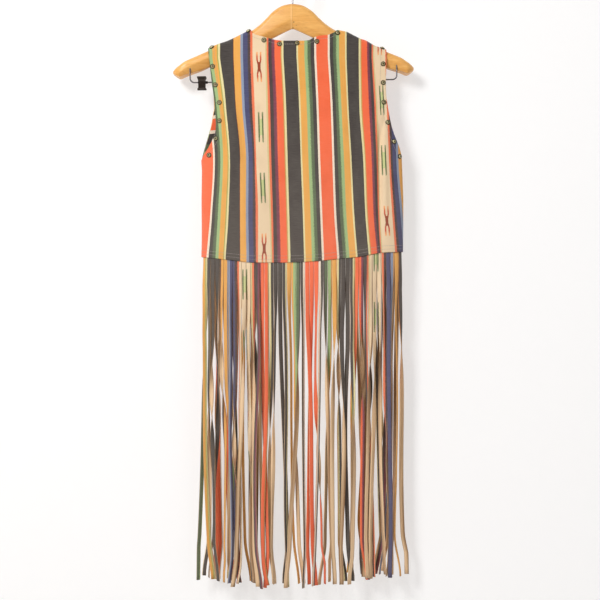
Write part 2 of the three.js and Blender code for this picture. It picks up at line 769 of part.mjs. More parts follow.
function buildClip() {
  const wide = clip.width / 2;
  const tall = clip.height / 2;
  const waist = clip.waist / 2;
  const outline = [
    [-wide, tall], [-waist, tall - 4.5], [-waist, 5 - tall], [-wide, -tall],
    [wide - 1, -tall], [waist, 5.5 - tall], [waist, tall - 8], [wide, tall - 5], [wide - 1.5, tall],
  ];
  const shape = new THREE.Shape(outline.map(([x, z]) => new THREE.Vector2(x, z)));
  const body = new THREE.ExtrudeGeometry(shape, { depth: clip.depth, bevelEnabled: false });
  body.rotateX(Math.PI / 2);
  body.translate(clip.x, bar.y + clip.depth / 2, bar.level - clip.drop);
  const hub = new THREE.CylinderGeometry(clip.hub / 2, clip.hub / 2, clip.hub, 10);
  hub.rotateZ(Math.PI / 2);
  hub.translate(clip.x + wide, bar.y, bar.level);
  const bore = wire([
    new THREE.Vector3(clip.x - 20, bar.y, bar.level), new THREE.Vector3(clip.x + 30, bar.y, bar.level),
  ], bar.wire + clip.clearance * 2);
  return toGeometry(toSolid(body).add(toSolid(hub)).subtract(toSolid(bore)));
}

function buildHanger() {
  const hanger = new THREE.Group();
  const tilted = new THREE.Group();
  tilted.position.z = wood.tiltCentre;
  tilted.rotation.y = THREE.MathUtils.degToRad(wood.tilt);
  const level = new THREE.Group();
  level.position.z = -wood.tiltCentre;
  level.add(
    piece('hanger_wood', buildWood(), finishes.honeyWood),
    piece('hanger_bar', wire(barStops(0), bar.wire), finishes.steelWire),
    piece('hanger_clip', buildClip(), finishes.blackSteel),
  );
  tilted.add(level);
  hanger.add(tilted, piece('hanger_hook', wire(hookStops(), hook.wire), finishes.steelWire));
  return hanger;
}

// ---------------------------------------------------------------- the whole

function buildVest() {
  const vest = new THREE.Group();
  const sheets = {
    back: backSheet(), front_left: frontSheet('left'), front_right: frontSheet('right'),
  };
  const bands = Object.values(sheets).map((sheet, i) => bandOf(sheet, 1 + i * 100));
  const strands = layStrands(bands);
  Object.entries(sheets).forEach(([name, sheet], i) => {
    vest.add(
      piece(`${name}_panel`, buildPanel(sheet), finishes.stripedCloth),
      piece(`fringe_${name}`, buildFringe(bands[i], strands), finishes.fringeCloth),
    );
  });
  vest.add(...buildStuds());
  return vest;
}

const model = new THREE.Group();
model.add(buildHanger(), buildVest());

export default model;
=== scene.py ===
"""A sleeveless striped vest with a long fringe, hanging on a wooden hanger with a wire trouser bar.

Sizes in this file are millimetres, +Z is up, +X is the wearer's right and +Y is the wearer's front.
The origin is the point where the hanger's hook bears on what holds it. Meshes are made in metres.
"""

from __future__ import annotations

import logging
import math
from bisect import bisect_right
from collections.abc import Callable, Iterable, Sequence
from dataclasses import dataclass, field
from enum import Enum
from itertools import accumulate, pairwise

import bmesh
import bpy
from mathutils import Matrix, Vector


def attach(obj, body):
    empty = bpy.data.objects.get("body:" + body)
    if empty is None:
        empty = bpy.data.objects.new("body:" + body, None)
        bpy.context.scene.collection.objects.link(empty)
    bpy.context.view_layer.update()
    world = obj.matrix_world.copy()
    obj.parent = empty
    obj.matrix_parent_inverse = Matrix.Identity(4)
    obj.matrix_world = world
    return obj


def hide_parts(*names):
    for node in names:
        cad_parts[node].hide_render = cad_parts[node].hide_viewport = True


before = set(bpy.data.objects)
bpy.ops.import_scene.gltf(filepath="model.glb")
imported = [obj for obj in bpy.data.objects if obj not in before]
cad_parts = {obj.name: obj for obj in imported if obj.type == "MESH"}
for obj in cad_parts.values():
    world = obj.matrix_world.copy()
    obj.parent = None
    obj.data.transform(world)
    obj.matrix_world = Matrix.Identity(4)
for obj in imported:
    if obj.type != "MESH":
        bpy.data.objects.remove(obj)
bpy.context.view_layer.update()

MM = 0.001
BODY = "root"
THREAD_PITCH = 0.95
WEAVE_DEPTH = 0.22
# How far a face's normal points along an axis where the face counts as facing that way.
FACING = 0.9
log = logging.getLogger("vest")

Grid = list[list[Vector]]
Spot = tuple[float, float]
Place = Callable[[int, int], Spot]
Color = tuple[float, float, float, float]
Tone = tuple[int, int, int]


# ---- small helpers


def mix(low: float, high: float, share: float) -> float:
    """Returns the number that lies a share of the way from low to high."""
    return low + (high - low) * share


def clamp(value: float, low: float, high: float) -> float:
    """Returns the value, held between low and high."""
    return min(high, max(low, value))


def ease(start: float, end: float, value: float) -> float:
    """Returns how far a value has gone from start to end, from 0 to 1, with soft ends."""
    share = clamp((value - start) / (end - start), 0.0, 1.0)
    return share * share * (3.0 - 2.0 * share)


def scatter(index: int, purpose: int) -> float:
    """Returns a fixed, even-looking number from 0 to 1 for a strand and a purpose."""
    wave = math.sin(index * 12.9898 + purpose * 78.233) * 43758.5453
    return wave - math.floor(wave)


def subdivided(stops: Sequence[float], pitch: float) -> list[float]:
    """Returns the stops with even steps put between them, none longer than the pitch."""
    fine = [stops[0]]
    for start, end in pairwise(stops):
        steps = max(1, math.ceil(abs(end - start) / pitch))
        fine.extend(mix(start, end, (k + 1) / steps) for k in range(steps))
    return fine


def run_along(points: Sequence[Sequence[float]]) -> list[float]:
    """Returns how far along a line each of its points lies."""
    steps = (math.dist(here, ahead) for here, ahead in pairwise(points))
    return list(accumulate(steps, initial=0.0))


def step_at(run: Sequence[float], goal: float) -> tuple[int, float]:
    """Returns the step of a run that a goal lies in, by its end's number, and the share of it."""
    i = 1
    while i < len(run) - 1 and run[i] < goal:
        i += 1
    return i, (goal - run[i - 1]) / (run[i] - run[i - 1])


class Table:
    """A short table of the cut, whose columns are read at any place by a smooth curve."""

    def __init__(self, names: str, rows: Sequence[Sequence[float]]) -> None:
        """Keeps the columns, turned so that the first one rises.

        Args:
            names: The columns' names, parted by spaces. The first one is what rows are found by.
            rows: The rows, from one end to the other.
        """
        ordered = list(rows) if rows[0][0] < rows[-1][0] else list(reversed(rows))
        self.columns = dict(zip(names.split(), zip(*ordered)))
        self.places = self.columns[names.split()[0]]
        self.rows = [dict(zip(names.split(), row)) for row in rows]

    def read(self, at: float, column: str) -> float:
        """Returns the column's value at a place along the first column."""
        places, values = self.places, self.columns[column]
        last = len(places) - 1
        if at <= places[0]:
            return values[0]
        if at >= places[last]:
            return values[last]
        i = min(bisect_right(places, at) - 1, last - 1)
        if places[i] == at and i > 0:
            i -= 1

        def slope(k: int) -> float:
            return (values[k + 1] - values[k]) / (places[k + 1] - places[k])

        def soften(a: float, b: float) -> float:
            return 0.0 if a * b <= 0 else 2 * a * b / (a + b)

        here = slope(i)
        before = slope(i - 1) if i > 0 else here
        after = slope(i + 1) if i + 1 < last else here
        span = places[i + 1] - places[i]
        t = (at - places[i]) / span
        start = soften(before, here) * span
        end = soften(here, after) * span
        rise = values[i + 1] - values[i]
        bend = 3 * rise - 2 * start - end + t * (start + end - 2 * rise)
        return values[i] + t * (start + t * bend)


# ---- shader expressions


def math_node(operation: str, *last: float) -> Callable[..., Value]:
    """Returns a method of Value that adds one Math node, with any fixed last operands."""

    def method(self: Value, *others: Value | float) -> Value:
        return self.shader.maths(operation, self, *others, *last)

    return method


class Value:
    """A shader number that adds Math nodes when it is calculated with."""

    def __init__(self, shader: Shader, socket: bpy.types.NodeSocket) -> None:
        """Keeps the tree that the number belongs to and the socket that gives it."""
        self.shader = shader
        self.socket = socket

    __add__ = __radd__ = math_node("ADD")
    __mul__ = __rmul__ = math_node("MULTIPLY")
    __sub__ = math_node("SUBTRACT")
    __truediv__ = math_node("DIVIDE")
    __lt__ = math_node("LESS_THAN")
    __gt__ = math_node("GREATER_THAN")
    __abs__ = math_node("ABSOLUTE")
    __mod__ = math_node("WRAP", 0.0)
    floor = math_node("FLOOR")
    sine = math_node("SINE")
    fold = math_node("PINGPONG")
    higher = math_node("MAXIMUM")

    def __rsub__(self, other: float) -> Value:
        """Returns a number less this one."""
        return self.shader.maths("SUBTRACT", other, self)

    def ramp(self, start: float, end: float) -> Value:
        """Returns 0 at start and 1 at end, straight between them and level outside."""
        inputs = {0: self, 1: start, 2: end, 3: 0.0, 4: 1.0}
        return self.shader.reading("ShaderNodeMapRange", {"clamp": True}, inputs)


def srgb(red: float, green: float, blue: float) -> Color:
    """Returns a colour of 0 to 255 a channel as the linear colour that a shader takes."""

    def linear(channel: float) -> float:
        share = channel / 255
        return share / 12.92 if share <= 0.04045 else ((share + 0.055) / 1.055) ** 2.4

    return (linear(red), linear(green), linear(blue), 1.0)


class Shader:
    """One material, with its nodes made by calls."""

    def __init__(self, name: str, roughness: float, metallic: float = 0.0) -> None:
        """Makes the material.

        Args:
            name: The finish's name.
            roughness: The surface's roughness where nothing varies it.
            metallic: 1 for bare metal, 0 for the rest.
        """
        self.material = bpy.data.materials.new(name)
        self.material.use_nodes = True
        self.tree = self.material.node_tree
        self.surface = self.tree.nodes["Principled BSDF"]
        self.surface.inputs["Roughness"].default_value = roughness
        self.surface.inputs["Metallic"].default_value = metallic

    def node(
        self,
        kind: str,
        settings: dict[str, object] | None = None,
        inputs: dict[int | str, object] | None = None,
    ) -> bpy.types.Node:
        """Adds a node.

        Args:
            kind: The node's type.
            settings: Its settings, which are set first. A ramp's are "stops" and "steps".
            inputs: A value or a link for each socket that isn't left as it is.

        Returns:
            The node.
        """
        made = self.tree.nodes.new(kind)
        for name, setting in (settings or {}).items():
            if name == "stops":
                self._fill_ramp(made.color_ramp, setting)
            elif name == "steps":
                made.color_ramp.interpolation = "CONSTANT" if setting else "LINEAR"
            else:
                setattr(made, name, setting)
        for name, value in (inputs or {}).items():
            if isinstance(value, Value):
                self.tree.links.new(value.socket, made.inputs[name])
            elif isinstance(value, bpy.types.NodeSocket):
                self.tree.links.new(value, made.inputs[name])
            else:
                made.inputs[name].default_value = value
        return made

    @staticmethod
    def _fill_ramp(ramp: bpy.types.ColorRamp, stops: Sequence[tuple[float, Color]]) -> None:
        """Gives a ramp its stops, each a place from 0 to 1 and a colour."""
        while len(ramp.elements) > 1:
            ramp.elements.remove(ramp.elements[-1])
        for k, (place, color) in enumerate(stops):
            stop = ramp.elements[0] if k == 0 else ramp.elements.new(place)
            stop.position = place
            stop.color = color

    def output(self, node: bpy.types.Node, socket: int | str = 0) -> Value:
        """Returns one of a node's outputs as a number to calculate with."""
        return Value(self, node.outputs[socket])

    def reading(
        self,
        kind: str,
        settings: dict[str, object] | None = None,
        inputs: dict[int | str, object] | None = None,
        socket: int | str = 0,
    ) -> Value:
        """Adds a node as node() does, and returns one of its outputs."""
        return self.output(self.node(kind, settings, inputs), socket)

    def maths(self, operation: str, *operands: Value | float) -> Value:
        """Returns the outcome of one Math node."""
        return self.reading("ShaderNodeMath", {"operation": operation}, dict(enumerate(operands)))

    def place(self) -> Value:
        """Returns the place on the object, in metres."""
        return self.reading("ShaderNodeTexCoord", socket="Object")

    def cloth_place(self) -> tuple[Value, Value, Value]:
        """Returns the cloth's own map, and its places across and down the print in millimetres."""
        chart = self.reading("ShaderNodeUVMap", {"uv_map": "print"}, socket="UV")
        parts = self.node("ShaderNodeSeparateXYZ", inputs={0: chart})
        return chart, self.output(parts, "X"), self.output(parts, "Y")

    def noise(self, place: Value, scale: float, detail: float = 2.0, rough: float = 0.5) -> Value:
        """Returns a soft random number from 0 to 1 over a place."""
        inputs = {"Vector": place, "Scale": scale, "Detail": detail, "Roughness": rough}
        return self.reading("ShaderNodeTexNoise", inputs=inputs, socket="Fac")

    def streaks(
        self, place: Value, scale: Sequence[float], detail: float = 2.0, rough: float = 0.5
    ) -> Value:
        """Returns a soft random number over a place that is scaled along its axes."""
        inputs = {"Vector": place, "Scale": tuple(scale)}
        stretched = self.reading("ShaderNodeMapping", inputs=inputs)
        return self.noise(stretched, 1.0, detail, rough)

    def blend(
        self, share: Value | float, low: Value | Tone, high: Value | Tone, how: str = "MIX"
    ) -> Value:
        """Returns a colour between two others.

        Args:
            share: How much of the second colour there is, from 0 to 1.
            low: The first colour.
            high: The second colour.
            how: The way that the second colour is laid on the first.
        """
        low, high = (srgb(*part) if isinstance(part, tuple) else part for part in (low, high))
        settings = {"data_type": "RGBA", "blend_type": how}
        return self.reading("ShaderNodeMix", settings, {0: share, 6: low, 7: high}, 2)

    def paint(self, color: Value) -> None:
        """Gives the surface its colour."""
        self.tree.links.new(color.socket, self.surface.inputs["Base Color"])

    def roughen(self, roughness: Value) -> None:
        """Gives the surface a roughness that varies."""
        self.tree.links.new(roughness.socket, self.surface.inputs["Roughness"])

    def raise_relief(self, height: Value, depth_mm: float, strength: float = 1.0) -> None:
        """Gives the surface a fine relief of a depth in millimetres."""
        inputs = {"Height": height, "Distance": depth_mm * MM, "Strength": strength}
        bump = self.node("ShaderNodeBump", inputs=inputs)
        self.tree.links.new(bump.outputs[0], self.surface.inputs["Normal"])

    def weave(self, across: Value, down: Value, fuzz: Value, strength: float) -> None:
        """Gives the surface a cloth's fine weave, with a noise's fuzz on its threads."""
        turn = 2 * math.pi / THREAD_PITCH
        threads = (across * turn).sine() * (down * turn).sine()
        self.raise_relief(threads * 0.5 + fuzz, WEAVE_DEPTH, strength)

    def soften(self, sheen: float) -> None:
        """Gives the surface a cloth's soft sheen."""
        self.surface.inputs["Sheen Weight"].default_value = sheen
        self.surface.inputs["Sheen Roughness"].default_value = 0.5
        self.surface.inputs["Specular IOR Level"].default_value = 0.2


# ---- finishes


class Dye(Enum):
    """The colours of the print, each red, green and blue from 0 to 255."""

    RED = (250, 108, 64)
    WHITE = (246, 230, 208)
    BLACK = (64, 59, 57)
    MOSS = (88, 106, 76)
    LEAF = (160, 190, 130)
    MARIGOLD = (236, 170, 80)
    OLIVE = (176, 172, 88)
    STRAW = (232, 222, 164)
    SKY = (140, 153, 178)
    NAVY = (68, 70, 110)
    SOOT = (70, 56, 56)
    MAROON = (120, 48, 36)
    CORAL = (238, 118, 78)
    CREAM = (238, 212, 174)
    LICHEN = (216, 200, 142)
    PLUM = (124, 58, 78)
    MUSTARD = (206, 160, 84)

    @property
    def color(self) -> Color:
        """The dye as a linear colour."""
        return srgb(*self.value)


# One half of the print's repeat, from the middle of one red stripe to the middle of the next, with
# each stripe's width in millimetres. The other half is its mirror image.
STRIPES: tuple[tuple[Dye, float], ...] = (
    (Dye.RED, 12.5), (Dye.WHITE, 3.2), (Dye.BLACK, 7.0), (Dye.MOSS, 5.3), (Dye.LEAF, 5.3),
    (Dye.MARIGOLD, 10.8), (Dye.OLIVE, 1.2), (Dye.STRAW, 3.4), (Dye.BLACK, 24.3),
    (Dye.MAROON, 1.2), (Dye.MARIGOLD, 11.5), (Dye.SKY, 4.4), (Dye.NAVY, 8.6), (Dye.SOOT, 4.6),
    (Dye.CORAL, 3.5), (Dye.CREAM, 20.5), (Dye.LICHEN, 2.6), (Dye.CORAL, 3.4), (Dye.SOOT, 7.0),
    (Dye.PLUM, 5.5), (Dye.RED, 11.5),
    (Dye.MUSTARD, 2.0), (Dye.STRAW, 3.2), (Dye.BLACK, 26.0), (Dye.STRAW, 3.0),
    (Dye.MARIGOLD, 11.5), (Dye.LEAF, 5.3), (Dye.MOSS, 5.0), (Dye.BLACK, 7.3), (Dye.WHITE, 3.2),
    (Dye.RED, 12.5),
)
HALF_REPEAT = sum(width for _, width in STRIPES)
CREAM_MIDDLE = 117.05

# Where one colour's threads mingle with the next one's, and over how far each way.
MINGLED = ((24.5, 5.0), (100.0, 4.0), (142.5, 5.5), (209.5, 4.5))


@dataclass(frozen=True)
class StripedPrint:
    """Cloth printed with serape stripes, with small red and green bars down its cream ones."""

    bar_pitch: float = 111.5
    bar_half: float = 27.5
    bar_aside: float = 8.0
    line_half: float = 1.2
    knot_aside: float = 2.2
    green_aside: float = 3.3
    left_start: float = 174.0
    right_start: float = 122.5
    roughness: float = 0.86

    def build(self) -> bpy.types.Material:
        """Returns the material."""
        shader = Shader("striped_print", self.roughness)
        chart, across, down = shader.cloth_place()
        weft = shader.streaks(chart, (0.22, 1.7, 1), 3.0, 0.7)
        straight = HALF_REPEAT - across.fold(HALF_REPEAT)
        frays = self._mingling(straight) * 9.0 + 1.7
        folded = straight + (weft - 0.5) * frays
        color = self._stripes(shader, folded)
        color = self._bars(shader, color, across, down, folded, weft)
        color = self._wear(shader, chart, down, color)
        shader.paint(color)
        slubs = shader.streaks(chart, (0.5, 1.6, 1), 3.0, 0.7)
        shader.weave(across, down, slubs, 0.55)
        shader.soften(0.15)
        return shader.material

    @staticmethod
    def _mingling(straight: Value) -> Value:
        """Returns how much the threads mingle at a place across half the repeat, from 0 to 1."""
        return sum(abs(straight - middle).ramp(reach, reach * 0.4) for middle, reach in MINGLED)

    @staticmethod
    def _stripes(shader: Shader, folded: Value) -> Value:
        """Returns the colour of the stripes alone."""
        starts = accumulate((width for _, width in STRIPES), initial=0.0)
        stops = [(start / HALF_REPEAT, dye.color) for start, (dye, _) in zip(starts, STRIPES)]
        settings = {"steps": True, "stops": stops}
        return shader.reading("ShaderNodeValToRGB", settings, {0: folded / HALF_REPEAT})

    def _bars(
        self, shader: Shader, color: Value, across: Value, down: Value, folded: Value, weft: Value
    ) -> Value:
        """Returns the colour with the bars laid on the cream stripes.

        Args:
            shader: The material's shader.
            color: The colour of the stripes.
            across: The place across the print.
            down: The place down the print.
            folded: The place across one half of the repeat.
            weft: The soft noise that frays the bars' ends.
        """
        start = self.left_start + (across > 0.0) * (self.right_start - self.left_start)
        turn = (down - start) / self.bar_pitch + 0.5
        number = turn.floor() % 3.0
        along = abs(turn - turn.floor() - 0.5) * self.bar_pitch
        aside = abs(folded - CREAM_MIDDLE)
        frayed = along + (weft - 0.5) * 9.0
        kept = (frayed < self.bar_half) * (aside < self.bar_aside)
        is_red = number < 0.5

        pinched = 1.2 + along.ramp(4.0, 13.0) * 1.7
        red_bar = abs(aside - pinched) < self.line_half
        knot = (along < 9.0) * (aside < self.knot_aside)
        red_shape = red_bar.higher(knot) * is_red * kept
        red = shader.blend(along.ramp(7.0, 14.0), (150, 62, 32), (206, 78, 42))
        red = shader.blend(along.ramp(18.0, 25.0), red, (244, 168, 108))
        color = shader.blend(red_shape, color, red)

        heart = (aside < self.knot_aside) * (along < 15.0) * (1.0 - is_red)
        color = shader.blend(heart * 0.8, color, (192, 208, 134))
        green_shape = (abs(aside - self.green_aside) < 1.25) * (1.0 - is_red) * kept
        green = shader.blend(along.ramp(17.0, 25.0), (80, 102, 58), (132, 142, 98))
        return shader.blend(green_shape, color, green)

    @staticmethod
    def _wear(shader: Shader, chart: Value, down: Value, color: Value) -> Value:
        """Returns the colour with the print's slight mottle, and with painted light that makes it
        lighter and paler towards the hem.
        """
        # Painted light: the print is blended a little towards a pale tone down towards the hem,
        # standing in for brighter, hazier light low down.
        color = shader.blend(down.ramp(200.0, 520.0) * 0.05, color, (255, 236, 218))
        streaks = shader.streaks(chart, (0.06, 1.1, 1), 4.0, 0.65)
        color = shader.blend(streaks.ramp(0.35, 0.75) * 0.05, color, (255, 244, 228))
        patches = shader.streaks(chart, (0.03, 0.022, 1), 2.0)
        color = shader.blend(patches.ramp(0.4, 0.7) * 0.07, color, (118, 118, 104))
        return shader.blend(patches.ramp(0.55, 0.3) * 0.10, color, (120, 84, 80), "MULTIPLY")


@dataclass(frozen=True)
class PlainReverse:
    """The cloth's unprinted side, which also shows along the fringe's cut edges."""

    name: str
    light: Tone
    dark: Tone
    change: tuple[float, float, float]
    roughness: float = 0.9

    def build(self) -> bpy.types.Material:
        """Returns the material."""
        shader = Shader(self.name, self.roughness)
        chart, across, down = shader.cloth_place()
        tone = shader.streaks(chart, self.change, 3.0)
        # A random tone between light and dark. On the fringe's strands the dark end is painted
        # shade.
        color = shader.blend(tone.ramp(0.42, 0.62), self.light, self.dark)
        fibres = shader.streaks(chart, (1.6, 0.3, 1), 4.0, 0.7)
        color = shader.blend(fibres.ramp(0.35, 0.75) * 0.2, color, (240, 214, 182))
        shader.paint(color)
        shader.weave(across, down, fibres, 0.5)
        shader.soften(0.2)
        return shader.material


PANEL_REVERSE = PlainReverse("plain_reverse", (222, 190, 150), (210, 177, 137), (0.04, 0.012, 1))
# The strands' reverse varies in tone from strand to strand at random. Its dark end is painted
# shade, for strands that hang in the shadow of others.
STRAND_REVERSE_WITH_PAINTED_SHADE = PlainReverse("strand_reverse", (238, 205, 164), (142, 106, 72), (0.11, 0.0022, 1))


@dataclass(frozen=True)
class Thread:
    """Grey-white sewing thread."""

    roughness: float = 0.6

    def build(self) -> bpy.types.Material:
        """Returns the material."""
        shader = Shader("sewing_thread", self.roughness)
        tone = shader.noise(shader.place(), 900.0, 2.0)
        shader.paint(shader.blend(tone, (156, 148, 140), (190, 182, 172)))
        shader.raise_relief(shader.noise(shader.place(), 3500.0, 2.0), 0.1, 0.4)
        return shader.material


# The small dark knots beside the hanger's joint: the middle and the radius of each.
KNOTS = (((2.4, -9.5, -91.0), 1.6), ((7.2, -6.5, -96.0), 1.9), ((0.9, -4.0, -100.5), 1.5))


@dataclass(frozen=True)
class HoneyWood:
    """Varnished honey-coloured beech, with a joint down the middle of the hanger and a painted
    highlight beside it.
    """

    roughness: float = 0.42
    joint_half: float = 0.3
    band_x: float = -2.2
    band_half: float = 1.2

    def build(self) -> bpy.types.Material:
        """Returns the material."""
        shader = Shader("honey_wood", self.roughness)
        place = shader.place()
        grain = shader.streaks(place, (14, 90, 160), 5.0, 0.62)
        pores = shader.streaks(place, (70, 500, 1500), 2.0, 0.6)
        color = shader.blend(grain.ramp(0.3, 0.7), (226, 160, 74), (246, 190, 106))
        color = shader.blend(pores.ramp(0.55, 0.72) * 0.45, color, (176, 112, 48))
        broad = shader.streaks(place, (5, 12, 14), 2.0)
        color = shader.blend(broad.ramp(0.45, 0.75) * 0.4, color, (206, 136, 62))
        x = shader.reading("ShaderNodeSeparateXYZ", inputs={0: place}, socket="X")
        joint = abs(x) < self.joint_half * MM
        # A painted highlight: a light line just beside the joint.
        band = abs(x - self.band_x * MM) < self.band_half * MM
        color = shader.blend(joint * 0.3, color, (146, 92, 44))
        color = shader.blend(band * 0.3, color, (255, 214, 156))
        for centre, radius in KNOTS:
            inputs = {0: place, 1: tuple(part * MM for part in centre)}
            settings = {"operation": "DISTANCE"}
            away = shader.reading("ShaderNodeVectorMath", settings, inputs, "Value")
            dark = away.ramp(radius * MM, radius * 0.5 * MM)
            color = shader.blend(dark * 0.8, color, (92, 52, 26))
        shader.paint(color)
        shader.roughen(self.roughness + grain * 0.1 - pores * 0.05)
        shader.raise_relief(grain * 0.5 + pores, 0.12, 0.3)
        shader.surface.inputs["Coat Weight"].default_value = 0.25
        shader.surface.inputs["Coat Roughness"].default_value = 0.2
        return shader.material


@dataclass(frozen=True)
class Metal:
    """A bare or blackened metal with a soft brushed wear."""

    name: str
    dark: Tone
    light: Tone
    roughness: float
    metallic: float

    def build(self) -> bpy.types.Material:
        """Returns the material."""
        shader = Shader(self.name, self.roughness, self.metallic)
        tarnish = shader.noise(shader.place(), 420.0, 4.0, 0.65)
        shader.paint(shader.blend(tarnish.ramp(0.3, 0.7), self.dark, self.light))
        shader.roughen(tarnish * 0.25 + (self.roughness - 0.1))
        shader.raise_relief(shader.noise(shader.place(), 1500.0, 3.0), 0.05, 0.3)
        return shader.material


STEEL = Metal("steel_wire", (84, 80, 84), (122, 118, 122), 0.36, 0.85)
BLACKENED = Metal("black_steel", (26, 22, 18), (58, 46, 38), 0.36, 0.6)
AGED_RIM = Metal("aged_rim", (42, 38, 24), (78, 70, 44), 0.45, 0.5)
# Painted reflection: this light tone goes on the studs' sloping dome faces, while their
# outward-looking tops take the dark rim tone.
FACET_WITH_PAINTED_REFLECTION = Metal("aged_facet", (168, 160, 118), (208, 200, 160), 0.42, 0.6)
PLATED = Metal("plated_steel", (150, 146, 150), (188, 184, 188), 0.32, 0.85)


@dataclass(frozen=True)
class Plaster:
    """A plain pale studio floor or wall."""

    name: str
    tone: Tone
    glow: float = 0.0
    one_sided: bool = False

    def build(self) -> bpy.types.Material:
        """Returns the material, which is clear from behind where it is one-sided."""
        shader = Shader(self.name, 0.9)
        tone = shader.noise(shader.place(), 1.3, 2.0)
        shade = tuple(part * 0.97 for part in self.tone)
        shader.paint(shader.blend(tone * 0.3, self.tone, shade))
        shader.surface.inputs["Specular IOR Level"].default_value = 0.1
        shader.surface.inputs["Emission Color"].default_value = srgb(255, 255, 255)
        shader.surface.inputs["Emission Strength"].default_value = self.glow
        if self.one_sided:
            behind = shader.reading("ShaderNodeNewGeometry", socket="Backfacing")
            clear = shader.node("ShaderNodeBsdfTransparent")
            inputs = {0: behind, 1: shader.surface.outputs[0], 2: clear.outputs[0]}
            both = shader.node("ShaderNodeMixShader", inputs=inputs)
            end = shader.tree.nodes["Material Output"].inputs["Surface"]
            shader.tree.links.new(both.outputs[0], end)
        return shader.material


class Finishes:
    """Every finish, each built once."""

    def __init__(self) -> None:
        """Builds the finishes."""
        self.cloth = StripedPrint().build()
        self.reverse = PANEL_REVERSE.build()
        self.strand_reverse = STRAND_REVERSE_WITH_PAINTED_SHADE.build()
        self.thread = Thread().build()
        self.wood = HoneyWood().build()
        self.steel = STEEL.build()
        self.plated = PLATED.build()
        self.black = BLACKENED.build()
        self.rim = AGED_RIM.build()
        self.facet = FACET_WITH_PAINTED_REFLECTION.build()


# ---- meshes and pieces


def placed(name: str, data: bpy.types.ID) -> bpy.types.Object:
    """Returns a new object of some data, put in the scene."""
    made = bpy.data.objects.new(name, data)
    bpy.context.scene.collection.objects.link(made)
    return made


@dataclass
class Mould:
    """The points, faces, finishes and print places of a mesh in the making."""

    points: list[Vector] = field(default_factory=list)
    faces: list[tuple[int, ...]] = field(default_factory=list)
    finishes: list[int] = field(default_factory=list)
    prints: list[Spot] = field(default_factory=list)

    def add(self, point: Vector, place: Spot) -> int:
        """Adds a point with its place on the print, and returns its number."""
        self.points.append(point)
        self.prints.append(place)
        return len(self.points) - 1

    def face(self, corners: Sequence[int], finish: int = 0) -> None:
        """Adds a face by its corners' numbers, with the number of its finish."""
        self.faces.append(tuple(corners))
        self.finishes.append(finish)

    def cast(self, name: str, materials: Sequence[bpy.types.Material]) -> bpy.types.Object:
        """Returns an object of this mesh, smooth and in metres."""
        mesh = bpy.data.meshes.new(name)
        mesh.from_pydata([point * MM for point in self.points], [], self.faces)
        for material in materials:
            mesh.materials.append(material)
        mesh.polygons.foreach_set("material_index", self.finishes)
        mesh.polygons.foreach_set("use_smooth", [True] * len(self.faces))
        layer = mesh.uv_layers.new(name="print")
        places = [part for loop in mesh.loops for part in self.prints[loop.vertex_index]]
        layer.data.foreach_set("uv", places)
        mesh.update()
        return placed(name, mesh)


def hand_over(piece: bpy.types.Object, slot: str, *nodes: str) -> bpy.types.Object:
    """Lets a finished piece ride on the body, and hides the nodes that it stands for."""
    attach(piece, BODY)
    if nodes:
        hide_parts(*nodes)
    triangles = sum(len(face.vertices) - 2 for face in piece.data.polygons)
    log.info("%s: %d triangles", piece.name, triangles)
    return piece


def clear_selection() -> None:
    """Leaves edit mode and deselects everything."""
    if bpy.context.object is not None and bpy.context.object.mode != "OBJECT":
        bpy.ops.object.mode_set(mode="OBJECT")
    bpy.ops.object.select_all(action="DESELECT")


def chosen(name: str, materials: Sequence[bpy.types.Material]) -> bpy.types.Object:
    """Names the active object, gives it its finishes and returns it."""
    piece = bpy.context.object
    piece.name = piece.data.name = name
    for material in materials:
        piece.data.materials.append(material)
    return piece


def select_alone(piece: bpy.types.Object) -> None:
    """Makes a piece the active object and the only one that is selected."""
    clear_selection()
    piece.select_set(True)
    bpy.context.view_layer.objects.active = piece


def settle_place(piece: bpy.types.Object) -> None:
    """Puts a piece's place into its mesh."""
    select_alone(piece)
    bpy.ops.object.transform_apply(location=True, rotation=True, scale=True)


def bevel(piece: bpy.types.Object, width: float) -> None:
    """Rounds a piece's edges over a width in millimetres."""
    select_alone(piece)
    modifier = piece.modifiers.new("edges", "BEVEL")
    modifier.width = width * MM
    modifier.segments = 2
    bpy.ops.object.modifier_apply(modifier=modifier.name)


def add_block(
    name: str, place: Vector, size: Sequence[float], finish: bpy.types.Material
) -> bpy.types.Object:
    """Returns a block of a size in millimetres round a place in metres."""
    clear_selection()
    bpy.ops.mesh.primitive_cube_add(size=1.0, location=place)
    bpy.ops.transform.resize(value=Vector(size) * MM)
    block = chosen(name, [finish])
    settle_place(block)
    return block


def join_pieces(name: str, pieces: Sequence[bpy.types.Object]) -> bpy.types.Object:
    """Returns one object made of several."""
    clear_selection()
    for piece in pieces:
        piece.select_set(True)
    bpy.context.view_layer.objects.active = pieces[0]
    bpy.ops.object.join()
    pieces[0].name = pieces[0].data.name = name
    return pieces[0]


# ---- the cloth's cut


